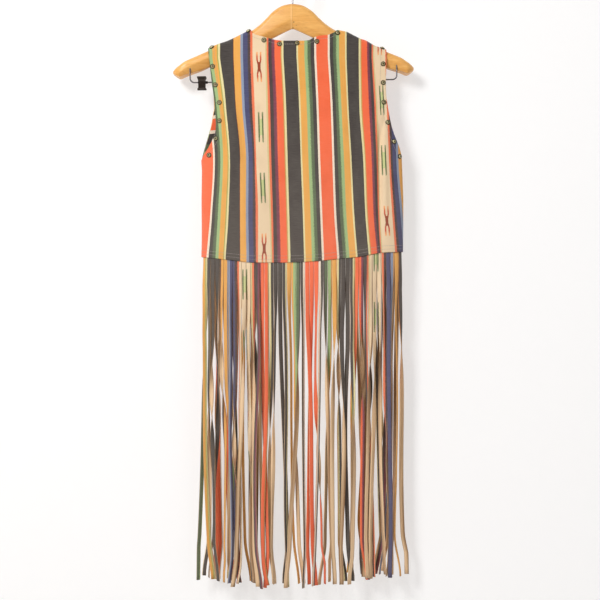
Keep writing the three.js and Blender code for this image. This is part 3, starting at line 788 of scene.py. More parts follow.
BACK_ARMHOLE = Table("z left right", [
    (-136, -155.8, 173.2), (-161, -153.0, 173.2), (-180, -151.0, 172.4), (-205, -148.0, 171.9),
    (-225, -145.1, 172.6), (-244, -143.1, 175.2), (-262, -141.4, 178.1), (-281, -140.6, 181.9),
    (-296, -141.9, 186.6), (-309, -147.7, 192.0), (-323, -155.2, 197.5), (-335, -163.4, 201.0),
    (-344.5, -168.9, 202.3),
])
FRONT_ARMHOLE = Table("z left right", [
    (-136, -155.8, 173.2), (-161, -153.3, 172.5), (-180, -151.3, 171.2), (-205, -148.8, 170.2),
    (-225, -146.8, 170.7), (-244, -146.1, 172.7), (-257, -148.3, 175.2), (-275, -151.1, 179.2),
    (-298, -157.2, 185.5), (-315, -161.9, 193.5), (-330, -166.0, 199.0), (-344.5, -168.9, 202.3),
])
SIDE_SEAMS = Table("z left right", [
    (-344.5, -168.9, 202.3), (-365, -167.8, 203.2), (-420, -168.4, 205.0), (-475, -168.0, 204.8),
    (-535, -169.0, 204.2),
])
HEM = Table("x z", [
    (-170, -522.5), (-142.6, -525.4), (-111, -529.1), (-69, -533.3), (-23, -533.3),
    (13.8, -532.4), (54, -529.7), (87, -526), (120.5, -522.8), (146, -518), (165, -514.9),
    (206, -513.1),
])
SHOULDER_LINE = Table("x z", [
    (-155.8, -134.6), (-138, -127.2), (-122, -122.4), (-111, -117.9), (-97, -111.4),
    (-87, -106.6), (-78, -102.2), (-60, -90), (-30, -66), (0, -53), (30, -66), (62, -90),
    (76, -99), (84, -102.6), (91, -103.9), (99, -105.2), (104, -107.2), (112, -111.3),
    (120, -115), (126, -117.8), (135, -120.4), (145, -125.9), (151, -129.3), (159, -132),
    (173.2, -136.6),
])
BACK_NECK = Table("x z", [
    (-78, -102.2), (-77.1, -103.6), (-76, -107.2), (-73, -111.6), (-67, -114.3), (-55.1, -117.8),
    (-40.9, -121.8), (-30.3, -124.9), (-13.7, -126.2), (13.8, -126.4), (29, -125.4),
    (39.9, -119.8), (52.4, -115.9), (64.1, -114.8), (74.4, -110.9), (80, -107.4), (82.6, -104),
    (84, -102.6),
])
OPEN_EDGES = Table("z left right", [
    (-102, -78, 84), (-130, -78, 86), (-200, -74, 90), (-344.5, -66, 97), (-535, -56, 105),
])
WOOD_PROFILE = Table("x top bottom thick chamfer", [
    (0, -55, -101, 25, 15), (16, -57.5, -108, 24.5, 14.5), (34, -67, -116.5, 24, 13),
    (50, -82.5, -124, 23.5, 12), (61, -92.5, -129, 23, 12), (78, -103.7, -136.5, 23, 13),
    (108, -116.6, -148.5, 23, 14), (140, -129.7, -160.5, 25, 15), (172, -142.8, -173.5, 31, 15),
    (188, -149.5, -178, 34.5, 13), (202, -156, -181.5, 39, 10), (212, -163, -185, 38, 7),
    (219, -168, -181.5, 30, 4), (224, -173.5, -177.5, 20, 1.5),
])
UNDERARM = -344.5
SHOULDER_TIP = -136.0
SEAMS_END = -535.0

BACK_COLUMNS = (
    -155.8, -152.6, -148.6, -143, -135, -126, -116, -106, -95, -85, -78, -77.1, -76, -71, -62, -51,
    -40, -27, -11, 6, 22, 32, 41, 52, 63, 73, 80, 82.6, 84, 91, 99, 108, 118, 128, 138, 148, 157,
    164.5, 169.4, 173.2,
)
LEFT_COLUMNS, RIGHT_COLUMNS = BACK_COLUMNS[:11], BACK_COLUMNS[-12:]
LOWER_ROWS = (0, 0.15, 0.31, 0.49, 0.67, 0.85)
UPPER_ROWS = (0, 0.05, 0.115, 0.19, 0.275, 0.38, 0.52, 0.68, 0.84, 1)
# The lengths of cloth that those two sets of rows share out.
LOWER_LENGTH, UPPER_LENGTH = 185, 205
# How far below a panel's top its last rows lie, where it turns over the wood.
PLAIN_CAPS = (7.6, 3.9, 1.5, 0.4, 0.0)
FINE_CAPS = (10.4, 8.6, 6.8, 5.2, 3.8, 2.6, 1.6, 0.8, 0.3, 0.0)

# The largest folds. A ridge stands out of the cloth and a trough, with a minus height, goes in.
FOLD_NAMES = "xTop xBottom zTop zBottom width height"
# How many widths from its middle a fold is felt.
FOLD_REACH = 4
BACK_FOLDS = Table(FOLD_NAMES, [
    (-128, -108, -150, -430, 16, 3.4), (-106, -76, -230, -390, 10, -2.8),
    (157, 163, -270, -540, 9, -4.6), (169, 170, -190, -500, 11, 3),
    (-60, -64, -300, -560, 14, 2.4), (-98, -100, -340, -560, 12, -2.4),
    (-8, -10, -320, -560, 16, -2.4), (50, 50, -300, -560, 18, 2.6),
    (100, 102, -330, -560, 14, -2.6),
])
FRONT_FOLDS = Table(FOLD_NAMES, [
    (-130, -118, -170, -470, 15, 3), (-104, -92, -260, -540, 11, -2.6),
    (126, 134, -180, -480, 14, 3.2), (150, 156, -280, -540, 11, -3),
])

# The smaller creases that lie over those folds, as uneven as handling has left them.
BACK_CREASES = Table(FOLD_NAMES, [
    (-140, -98, -128, -158, 7, -2.6), (-126, -121, -180, -350, 4.5, -5.2),
    (-109, -103, -160, -345, 7, 2.4),
    (-96, -88, -330, -510, 5, 1.5), (-70, -78, -150, -250, 6, -1.3),
    (-34, -20, -180, -350, 7, 1.3), (20, 12, -150, -280, 8, -1.3),
    (36, 44, -330, -510, 6, -1.3), (88, 96, -150, -320, 7, 1.5),
    (118, 109, -240, -420, 6, -1.6), (134, 150, -150, -262, 5, -2.0),
    (155, 152, -250, -430, 3.6, 3.0), (176, 179, -330, -470, 4, -1.6),
    (173, 160, -238, -330, 3.6, -3.4), (161, 162, -268, -470, 3.8, -5.0),
    (-152, -146, -380, -520, 5, -1.2), (72, 76, -420, -530, 6, 0.8),
])
FRONT_CREASES = Table(FOLD_NAMES, [
    (-142, -134, -200, -330, 5, -1.3), (-88, -80, -180, -300, 6, 0.9),
    (-118, -110, -370, -500, 6, 1.0), (-74, -72, -330, -520, 5, -0.8),
    (104, 112, -200, -330, 6, -1.0), (142, 150, -210, -330, 5, 1.2),
    (118, 124, -380, -510, 6, 0.9), (176, 182, -360, -500, 5, -1.2),
])

# How the stripes run along the cloth that is turned inside a front's armhole.
ARMHOLE_PRINT = Table("z across", [
    (-136, -96), (-250.5, -22.7), (-257.5, -15.7), (-264, -12.5), (-287, 12.5), (-292.5, 15.7),
    (-318, 24), (-344.5, 36),
])

# The print's lines on the back: the place across the print, and the column of the view, 600 across,
# that the line is seen in at five of the view's rows.
SEEN_ROWS = (56, 104, 160, 212, 256)
SEEN_LINES = (
    (-236.3, 193.0, 200.0, 206.8, 204.0, 199.7),
    (-223.8, 200.0, 207.0, 213.1, 210.2, 206.3),
    (-203.0, 211.7, 219.0, 222.6, 220.3, 218.2),
    (-191.0, 217.2, 222.9, 228.3, 226.1, 223.6),
    (-187.6, 219.6, 225.9, 230.0, 228.5, 225.5),
    (-162.1, 232.9, 235.2, 239.7, 239.8, 239.9),
    (-150.6, 240.1, 242.0, 246.0, 245.8, 246.4),
    (-137.6, 247.4, 249.0, 252.9, 252.8, 253.6),
    (-129.5, 252.2, 254.4, 256.0, 258.0, 257.8),
    (-109.0, 265.2, 266.2, 267.6, 269.4, 270.8),
    (-103.0, 268.0, 269.8, 271.0, 272.6, 273.4),
    (-73.8, 283.0, 285.6, 287.2, 288.8, 290.0),
    (-47.8, 296.0, 298.6, 300.4, 302.4, 303.6),
    (-12.5, 316.0, 318.2, 320.0, 321.9, 323.7),
    (12.5, 328.0, 330.9, 332.6, 334.3, 337.4),
    (47.8, 347.1, 348.7, 352.0, 354.6, 358.0),
    (73.8, 359.4, 359.8, 363.6, 365.6, 369.2),
    (90.5, 367.6, 369.2, 371.9, 373.6, 377.6),
    (109.0, 374.6, 377.5, 379.0, 380.6, 382.6),
    (129.5, 385.8, 387.0, 389.0, 392.2, 395.6),
    (150.6, 397.0, 397.6, 398.4, 402.6, 406.5),
    (175.0, 408.0, 409.0, 409.5, 414.0, 418.0),
)


@dataclass(frozen=True)
class View:
    """The level view of the back, which is 600 columns wide and 600 rows high."""

    middle: float = 300.0
    scale: float = 1.84
    camera_x: float = 13.8
    camera_y: float = -2210.0
    camera_z: float = -602.7
    cloth_y: float = -10.0
    back_y: float = -16.0
    back_middle: float = 302.0
    flat_reach: float = 70.0
    round_reach: float = 30.0
    round_depth: float = 14.0

    def _spread(self, y: float) -> float:
        """Returns how many millimetres a column is wide at a depth."""
        return self.scale * (1 + (y - self.cloth_y) / (self.cloth_y - self.camera_y))

    def x_at(self, column: float) -> float:
        """Returns the X that is seen in a column, on a back that turns away at its sides."""
        aside = (abs(column - self.back_middle) - self.flat_reach) / self.round_reach
        y = self.back_y + self.round_depth * clamp(aside, 0.0, 1.0) ** 1.5
        return round(self.camera_x + (column - self.middle) * self._spread(y), 1)

    def z_at(self, row: float) -> float:
        """Returns the Z that is seen in a row, on the middle of the back."""
        return round(self.camera_z + (self.middle - row) * self._spread(self.back_y), 1)


VIEW = View()


@dataclass(frozen=True)
class Cut:
    """The cloth's own sizes and how it hangs."""

    wall: float = 1.4
    seam_gap: float = 0.3
    seam_y: float = 12.0
    squareness: float = 3.0
    stand_off: float = 2.1
    cap_height: float = 12.0
    cap_squareness: float = 2.3
    settle_below: float = 5.0
    wood_sweep: float = 26.0
    sweep_reach: float = 220.0
    column_pitch: float = 2.4
    row_pitch: float = 4.0


CUT = Cut()


def wood_middle(x: float) -> float:
    """Returns the Y of the hanger wood's middle at a distance from its joint."""
    return CUT.wood_sweep * (abs(x) / CUT.sweep_reach) ** 1.5


@dataclass(frozen=True)
class Half:
    """The back, or the two fronts, as a surface of the hung cloth."""

    sign: int
    out: float
    settle: float
    folds: Table
    creases: Table

    @staticmethod
    def _fold_at(folds: Table, x: float, z: float) -> float:
        """Returns how far a table's folds move the cloth outwards at a place."""
        out = 0.0
        for fold in folds.rows:
            share = clamp((fold["zTop"] - z) / (fold["zTop"] - fold["zBottom"]), 0.0, 1.0)
            if 0.0 < share < 1.0:
                aside = (x - mix(fold["xTop"], fold["xBottom"], share)) / fold["width"]
                if abs(aside) < FOLD_REACH:
                    along = math.sin(math.pi * share) ** 0.8
                    out += fold["height"] * along * math.exp(-aside * aside)
        return out

    def depth_at(self, x: float, z: float, creased: bool) -> float:
        """Returns the Y of the cloth's middle layer.

        Args:
            x: Where along the garment.
            z: At what height.
            creased: True for the finished cloth, False for its plain form.
        """
        height = clamp(z, SEAMS_END, UNDERARM)
        left, right = (SIDE_SEAMS.read(height, side) for side in ("left", "right"))
        across = clamp(abs(x - (left + right) / 2) / ((right - left) / 2), 0.0, 1.0)
        round_share = (1 - across**CUT.squareness) ** (1 / CUT.squareness)
        fold = self._fold_at(self.folds, x, z)
        if creased:
            fold += self._fold_at(self.creases, x, z)
        body = CUT.seam_y + self.sign * (self.out + fold) * round_share

        line = SHOULDER_LINE.read(x, "z") - CUT.wall / 2
        depth = clamp((line - z) / CUT.cap_height, 0.0, 1.0)
        turn = (1 - (1 - depth) ** CUT.cap_squareness) ** (1 / CUT.cap_squareness)
        reach = WOOD_PROFILE.read(abs(x), "thick") / 2 + CUT.stand_off
        hang = wood_middle(x) + max(reach * turn, CUT.seam_gap / 2) * self.sign

        top = WOOD_PROFILE.read(abs(x), "bottom") - CUT.settle_below
        return mix(hang, body, ease(top, top - self.settle, z))


BACK = Half(-1, 28.0, 150.0, BACK_FOLDS, BACK_CREASES)
FRONT = Half(1, 18.0, 75.0, FRONT_FOLDS, FRONT_CREASES)


class Side(Enum):
    """The four sides of a panel's grid of points."""

    LEFT = "left"
    RIGHT = "right"
    TOP = "top"
    BOTTOM = "bottom"


@dataclass
class Sheet:
    """One panel's middle layer: a grid of points from hem to top and from left to right."""

    name: str
    half: Half
    grid: Grid
    normals: Grid
    seams: set[Side]
    seam_rows: int

    def on_seam(self, i: int, j: int) -> bool:
        """Returns whether a point lies on a side seam or a shoulder seam."""
        last_row, last = len(self.grid) - 1, len(self.grid[0]) - 1
        for end, side in ((0, Side.LEFT), (last, Side.RIGHT)):
            if i <= self.seam_rows and j == end and side in self.seams:
                return True
        return i == last_row and Side.TOP in self.seams and self._over_shoulder(j)

    def _over_shoulder(self, j: int) -> bool:
        """Returns whether a column ends at a shoulder seam and not at the neck."""
        x = self.grid[-1][j].x
        return x <= BACK_NECK.places[0] + 0.05 or x >= BACK_NECK.places[-1] - 0.05

    def line(self, side: Side, index: int) -> list[tuple[Vector, Vector]]:
        """Returns the points and normals that run inwards from one point of an edge."""
        if side in (Side.LEFT, Side.RIGHT):
            run = list(zip(self.grid[index], self.normals[index]))
        else:
            run = [(row[index], normals[index]) for row, normals in zip(self.grid, self.normals)]
        return run if side in (Side.LEFT, Side.BOTTOM) else run[::-1]

    def inwards(self, side: Side, index: int, distance: float) -> tuple[Vector, Vector]:
        """Returns the point and normal at a distance along the cloth from an edge's point."""
        run = self.line(side, index)
        left = distance
        for (here, normal), (ahead, normal_ahead) in pairwise(run):
            step = (ahead - here).length
            if step >= left:
                share = left / step
                return here.lerp(ahead, share), normal.lerp(normal_ahead, share).normalized()
            left -= step
        return run[-1][0].copy(), run[-1][1].copy()


class Tailor:
    """Cuts the back and the two fronts."""

    def __init__(self, creased: bool, column_pitch: float, row_pitch: float) -> None:
        """Sets how fine the grids are.

        Args:
            creased: True for the finished cloth, False for its plain form.
            column_pitch: The widest gap between columns of points, or 0 for the plain columns.
            row_pitch: The same for rows.
        """
        self.creased = creased
        self.column_pitch = column_pitch
        self.lower, self.upper, self.caps = LOWER_ROWS, UPPER_ROWS, PLAIN_CAPS
        if row_pitch:
            self.lower = subdivided([*LOWER_ROWS, 1.0], row_pitch / LOWER_LENGTH)[:-1]
            self.upper = subdivided(UPPER_ROWS, row_pitch / UPPER_LENGTH)
            self.caps = FINE_CAPS

    def _columns(self, columns: Sequence[float]) -> list[float]:
        """Returns a panel's columns at the pitch that was asked for."""
        return subdivided(columns, self.column_pitch) if self.column_pitch else list(columns)

    def _shared_out(
        self, half: Half, start: float, end: float, z: float, shares: Sequence[float]
    ) -> list[float]:
        """Returns the X of each share of a row's length, measured along the cloth.

        Args:
            half: The surface that the row lies on.
            start: The row's first X.
            end: Its last X.
            z: Its height.
            shares: The shares of its length, from 0 to 1.
        """
        fine = 160
        xs = [mix(start, end, (1 - math.cos(math.pi * i / fine)) / 2) for i in range(fine + 1)]
        ys = [half.depth_at(x, z, False) for x in xs]
        run = run_along(list(zip(xs, ys)))
        out = []
        for share in shares:
            i, t = step_at(run, share * run[-1])
            out.append(mix(xs[i - 1], xs[i], clamp(t, 0.0, 1.0)))
        return out

    def _grid(
        self,
        half: Half,
        columns: Sequence[float],
        edge_at: Callable[[float, str], float],
        top_at: Callable[[float], float],
        middle_column: float,
    ) -> Grid:
        """Returns a panel's grid of middle points.

        Args:
            half: The surface that the panel lies on.
            columns: Where its columns end along its top.
            edge_at: Gives the X of its left or right edge at a height.
            top_at: Gives the height of its top at an X.
            middle_column: The column whose height each row is measured at.
        """
        spread = columns[-1] - columns[0]
        shares = [(x - columns[0]) / spread for x in columns]
        rows: Grid = []

        def add_row(height: Callable[[float, float], float], straight: float) -> None:
            middle_z = height(middle_column, middle_column)
            left = edge_at(height(columns[0], columns[0]), "left")
            right = edge_at(height(columns[-1], columns[-1]), "right")
            along = self._shared_out(half, left, right, middle_z, shares)
            row = []
            for column, share, even in zip(columns, shares, along):
                x = mix(even, mix(left, right, share), straight)
                z = height(column, x)
                row.append(Vector((x, half.depth_at(x, z, self.creased), z)))
            rows.append(row)

        for share in self.lower:
            add_row(lambda _, x, s=share: mix(HEM.read(x, "z"), UNDERARM, s), 0.0)
        for share in self.upper:
            add_row(
                lambda column, _, s=share: mix(UNDERARM, top_at(column) - CUT.cap_height, s),
                share**2,
            )
        for depth in self.caps:
            add_row(lambda column, _, d=depth: top_at(column) - d, 1.0)
        return rows

    @staticmethod
    def _turn_normals(sheet: Sheet) -> None:
        """Works out the outward normal of every point of a sheet, level along its seams."""
        grid = sheet.grid
        last_row, last = len(grid) - 1, len(grid[0]) - 1
        for i, row in enumerate(grid):
            normals = []
            for j in range(len(row)):
                across = row[min(j + 1, last)] - row[max(j - 1, 0)]
                up = grid[min(i + 1, last_row)][j] - grid[max(i - 1, 0)][j]
                normal = across.cross(up) * -sheet.half.sign
                if sheet.on_seam(i, j):
                    normal.y = 0.0
                normals.append(normal.normalized())
            sheet.normals.append(normals)

    @staticmethod
    def _armhole(rows: Table, z: float, side: str) -> float:
        """Returns the X of a panel's outer edge at a height, down its armhole and its side seam."""
        if z < UNDERARM:
            return SIDE_SEAMS.read(max(z, SEAMS_END), side)
        return rows.read(min(z, SHOULDER_TIP), side)

    def back(self) -> Sheet:
        """Returns the back."""

        def top(x: float) -> float:
            within = BACK_NECK.places[0] < x < BACK_NECK.places[-1]
            return (BACK_NECK if within else SHOULDER_LINE).read(x, "z") - CUT.wall / 2

        columns = self._columns(BACK_COLUMNS)
        grid = self._grid(BACK, columns, lambda z, s: self._armhole(BACK_ARMHOLE, z, s), top, 22)
        seams = {Side.LEFT, Side.RIGHT, Side.TOP}
        sheet = Sheet("back", BACK, grid, [], seams, len(self.lower))
        for row in grid[: len(self.lower) + 1]:
            row[0].y -= CUT.seam_gap / 2
            row[-1].y -= CUT.seam_gap / 2
        self._turn_normals(sheet)
        return sheet

    def front(self, side: Side) -> Sheet:
        """Returns the left or the right front."""
        is_left = side is Side.LEFT
        columns = self._columns(LEFT_COLUMNS if is_left else RIGHT_COLUMNS)

        def edge(z: float, end: str) -> float:
            if end == side.value:
                return self._armhole(FRONT_ARMHOLE, z, end)
            return OPEN_EDGES.read(z, side.value)

        def top(x: float) -> float:
            return SHOULDER_LINE.read(x, "z") - CUT.wall / 2

        grid = self._grid(FRONT, columns, edge, top, -126 if is_left else 138)
        sheet = Sheet(f"front_{side.value}", FRONT, grid, [], {side, Side.TOP}, len(self.lower))
        for row in grid[: len(self.lower) + 1]:
            row[0 if is_left else -1].y += CUT.seam_gap / 2
        self._turn_normals(sheet)
        return sheet

    def all(self) -> list[Sheet]:
        """Returns the back, the left front and the right front."""
        return [self.back(), self.front(Side.LEFT), self.front(Side.RIGHT)]


# ---- the print's place


@dataclass
class BackPrint:
    """Lays the print on the back along its given lines."""

    heights: Table = field(init=False)

    def __post_init__(self) -> None:
        """Turns the lines into a table by height."""
        names = " ".join(["z", *(f"line{k}" for k in range(len(SEEN_LINES)))])
        seen = zip(SEEN_ROWS, list(zip(*SEEN_LINES))[1:])
        rows = [(VIEW.z_at(row), *map(VIEW.x_at, columns)) for row, columns in seen]
        self.heights = Table(names, rows)

    def at(self, point: Vector) -> Spot:
        """Returns the places across and down the print at a point."""
        xs = [self.heights.read(point.z, f"line{k}") for k in range(len(SEEN_LINES))]
        k = int(clamp(bisect_right(xs, point.x) - 1, 0, len(xs) - 2))
        share = (point.x - xs[k]) / (xs[k + 1] - xs[k])
        return mix(SEEN_LINES[k][0], SEEN_LINES[k + 1][0], share), -point.z


# ---- shells of cloth


@dataclass
class Shell:
    """A closed wall of cloth round a grid of middle points, with softly turned edges."""

    grid: Grid
    normals: Grid
    sign: int
    wall: float
    offset: float = 0.0
    edge_bulge: float = 0.5
    seam_bulge: float = 0.1
    outer_finish: int = 0
    inner_finish: int = 1
    edge_finish: int = 0

    def pour(self, mould: Mould, place: Place, on_seam: Callable[[int, int], bool]) -> None:
        """Adds the wall to a mould.

        Args:
            mould: The mesh in the making.
            place: Gives the place on the print of a grid point.
            on_seam: Says which grid points lie on a seam.
        """
        rows, columns = len(self.grid), len(self.grid[0])
        outer = self._layer(mould, place, 0.5)
        inner = self._layer(mould, place, -0.5)
        for i in range(rows - 1):
            for j in range(columns - 1):
                ring = [(i, j), (i, j + 1), (i + 1, j + 1), (i + 1, j)]
                if self.sign > 0:
                    ring.reverse()
                mould.face([outer[a][b] for a, b in ring], self.outer_finish)
                mould.face([inner[a][b] for a, b in reversed(ring)], self.inner_finish)
        self._turn_edge(mould, place, on_seam, outer, inner)

    def _layer(self, mould: Mould, place: Place, side: float) -> list[list[int]]:
        """Adds the outer or the inner face's points and returns their numbers."""
        lift = self.offset + side * self.wall
        return [
            [mould.add(point + normal * lift, place(i, j))
             for j, (point, normal) in enumerate(zip(points, normals))]
            for i, (points, normals) in enumerate(zip(self.grid, self.normals))
        ]

    def _rim(self) -> list[tuple[int, int]]:
        """Returns the grid places round the edge, with the outer face on the left-hand side."""
        rows, columns = len(self.grid), len(self.grid[0])
        ring = [(0, j) for j in range(columns)]
        ring += [(i, columns - 1) for i in range(1, rows)]
        ring += [(rows - 1, j) for j in range(columns - 2, -1, -1)]
        ring += [(i, 0) for i in range(rows - 2, 0, -1)]
        return ring if self.sign < 0 else ring[::-1]

    def _turn_edge(
        self,
        mould: Mould,
        place: Place,
        on_seam: Callable[[int, int], bool],
        outer: list[list[int]],
        inner: list[list[int]],
    ) -> None:
        """Joins the two faces round the edge through a half-round turn.

        Args:
            mould: The mesh in the making.
            place: Gives the place on the print of a grid point.
            on_seam: Says which grid points lie on a seam, where the turn is flatter.
            outer: The numbers of the outer face's points.
            inner: The same for the inner face.
        """
        ring = self._rim()
        loops = [[outer[i][j] for i, j in ring]]
        count = len(ring)
        for angle in (45, 90, 135):
            loop = []
            for k, (i, j) in enumerate(ring):
                before, after = ring[k - 1], ring[(k + 1) % count]
                along = self.grid[after[0]][after[1]] - self.grid[before[0]][before[1]]
                normal = self.normals[i][j]
                outward = along.cross(normal).normalized()
                bulge = self.seam_bulge if on_seam(i, j) else self.edge_bulge
                lift = self.offset + self.wall / 2 * math.cos(math.radians(angle))
                aside = self.wall * bulge * math.sin(math.radians(angle))
                point = self.grid[i][j] + normal * lift + outward * aside
                loop.append(mould.add(point, place(i, j)))
            loops.append(loop)
        loops.append([inner[i][j] for i, j in ring])
        for first, second in pairwise(loops):
            for k in range(count):
                ahead = (k + 1) % count
                corners = [first[ahead], first[k], second[k], second[ahead]]
                mould.face(corners, self.edge_finish)


@dataclass
class Seamstress:
    """Sews the panels: their shells, the hems turned inside them and their stitches."""

    finishes: Finishes
    hem_start: float = 0.6
    hem_width: float = 14.0
    hem_wall: float = 0.6
    layer_gap: float = 0.04
    stitch_pitch: float = 3.3
    stitch_length: float = 2.8
    stitch_radius: float = 0.32
    stitch_lift: float = 0.08
    hem_rows: tuple[float, ...] = (5.3, 11.5)
    neck_rows: tuple[float, ...] = (5.8,)
    edge_rows: tuple[float, ...] = (10.5,)

    def panel(self, sheet: Sheet, place: Callable[[Vector], Spot]) -> bpy.types.Object:
        """Returns a panel with the hems turned inside it.

        Args:
            sheet: The panel's middle layer.
            place: Gives the place on the print of a point.
        """
        mould = Mould()
        spots = [[place(point) for point in row] for row in sheet.grid]
        shell = Shell(sheet.grid, sheet.normals, sheet.half.sign, CUT.wall)
        shell.pour(mould, lambda i, j: spots[i][j], sheet.on_seam)
        for side, first, last in self._free_edges(sheet):
            self._turn_hem(mould, sheet, side, first, last)
        piece = mould.cast(f"{sheet.name}_cloth", [self.finishes.cloth, self.finishes.reverse])
        return hand_over(piece, "striped_cloth", f"{sheet.name}_panel")

    @staticmethod
    def _free_edges(sheet: Sheet) -> list[tuple[Side, int, int]]:
        """Returns the edges that carry a turned hem, each with its first and last grid place."""
        last_row, last = len(sheet.grid) - 1, len(sheet.grid[0]) - 1
        under, shoulder = sheet.seam_rows + 1, last_row - 3
        sides = (Side.LEFT, Side.RIGHT)
        edges = [(side, under if side in sheet.seams else 0, shoulder) for side in sides]
        if sheet.half is BACK:
            necks = [j for j in range(last + 1) if not sheet.on_seam(last_row, j)]
            edges.append((Side.TOP, necks[2], necks[-3]))
        return edges

    def _turn_hem(self, mould: Mould, sheet: Sheet, side: Side, first: int, last: int) -> None:
        """Adds the cloth that is turned inside one edge, with its stripes across it.

        Args:
            mould: The mesh in the making.
            sheet: The panel.
            side: The edge.
            first: The edge's first grid place.
            last: Its last one.
        """
        steps = [self.hem_start, *(self.hem_width * share for share in (0.3, 0.65, 1.0))]
        grid, normals = [], []
        for index in range(first, last + 1):
            pairs = [sheet.inwards(side, index, step) for step in steps]
            grid.append([point for point, _ in pairs])
            normals.append([normal for _, normal in pairs])
        run = run_along([row[0] for row in grid])
        sign = sheet.half.sign if side is Side.LEFT else -sheet.half.sign
        offset = -(CUT.wall + self.hem_wall) / 2 - self.layer_gap
        shell = Shell(grid, normals, sign, self.hem_wall, offset, inner_finish=0)
        in_armhole = side in sheet.seams and sheet.half is FRONT

        def place(i: int, j: int) -> Spot:
            if in_armhole:
                return ARMHOLE_PRINT.read(grid[i][0].z, "across"), steps[j]
            return run[i] - run[-1], steps[j]

        shell.pour(mould, place, lambda i, j: False)

    def stitches(self, sheet: Sheet) -> bpy.types.Object:
        """Returns the twin rows of stitches along a panel's edges."""
        pattern = self._one_stitch()
        mould = Mould()
        edges = [*self._free_edges(sheet), (Side.BOTTOM, 0, len(sheet.grid[0]) - 1)]
        rows = {Side.BOTTOM: self.hem_rows, Side.TOP: self.neck_rows}
        for side, first, last in edges:
            for distance in rows.get(side, self.edge_rows):
                pairs = [sheet.inwards(side, k, distance) for k in range(first, last + 1)]
                for face in (1, -1):
                    lift = CUT.wall / 2 + self.stitch_lift
                    if face < 0 and side is not Side.BOTTOM:
                        lift += self.hem_wall + self.layer_gap
                    path = [point + normal * (lift * face) for point, normal in pairs]
                    self._sew(mould, path, *pattern)
        piece = mould.cast(f"{sheet.name}_stitches", [self.finishes.thread])
        return hand_over(piece, "striped_cloth")

    def _one_stitch(self) -> tuple[list[Vector], list[tuple[int, ...]]]:
        """Returns one stitch's points, along X, and its faces, modelled from a small ball."""
        clear_selection()
        bpy.ops.mesh.primitive_uv_sphere_add(segments=6, ring_count=5, radius=1.0)
        bpy.ops.transform.rotate(value=math.pi / 2, orient_axis="Y", center_override=(0, 0, 0))
        size = (self.stitch_length / 2, self.stitch_radius, self.stitch_radius)
        bpy.ops.transform.resize(value=size)
        ball = chosen("stitch", [])
        settle_place(ball)
        points = [vertex.co.copy() for vertex in ball.data.vertices]
        faces = [tuple(face.vertices) for face in ball.data.polygons]
        bpy.data.objects.remove(ball)
        return points, faces

    def _sew(
        self,
        mould: Mould,
        path: Sequence[Vector],
        points: Sequence[Vector],
        faces: Sequence[tuple[int, ...]],
    ) -> None:
        """Adds stitches a pitch apart along a path.

        Args:
            mould: The mesh in the making.
            path: The points that the row of stitches goes through.
            points: One stitch's points, along X.
            faces: Its faces.
        """
        left = self.stitch_pitch / 2
        for here, ahead in pairwise(path):
            step = (ahead - here).length
            while left <= step and step > 0:
                middle = here.lerp(ahead, left / step)
                turn = Vector((1, 0, 0)).rotation_difference(ahead - here)
                base = len(mould.points)
                for point in points:
                    mould.add(middle + turn @ point, (0.0, 0.0))
                for corners in faces:
                    mould.face([base + corner for corner in corners])
                left += self.stitch_pitch
            left -= step


# ---- the fringe


# Where along the back's strip, from the middle of its red stripe, the print's places lie.
FRINGE_PRINT = Table("run across", [
    (-230, -222.2), (-160, -154.6), (0, 0), (75, 72.5), (105.5, 107), (128.3, 128.5), (151, 150.6),
    (175, 174),
])


FRINGE_ROOT = -520.0

# How many half-turns some strands make, by their numbers. The rest turn by chance.
SET_TURNS = {1: 0, **dict.fromkeys((101, 102, 103, 104, 107, 108, 111, 204, 206, 208), 1)}


@dataclass
class Strand:
    """One strand of the fringe, and where it hangs level by level."""

    band: int
    index: int
    anchor: Vector
    faces: float
    run: float
    x: float
    y: float
    path: list[tuple[float, float, float, float]] = field(default_factory=list)


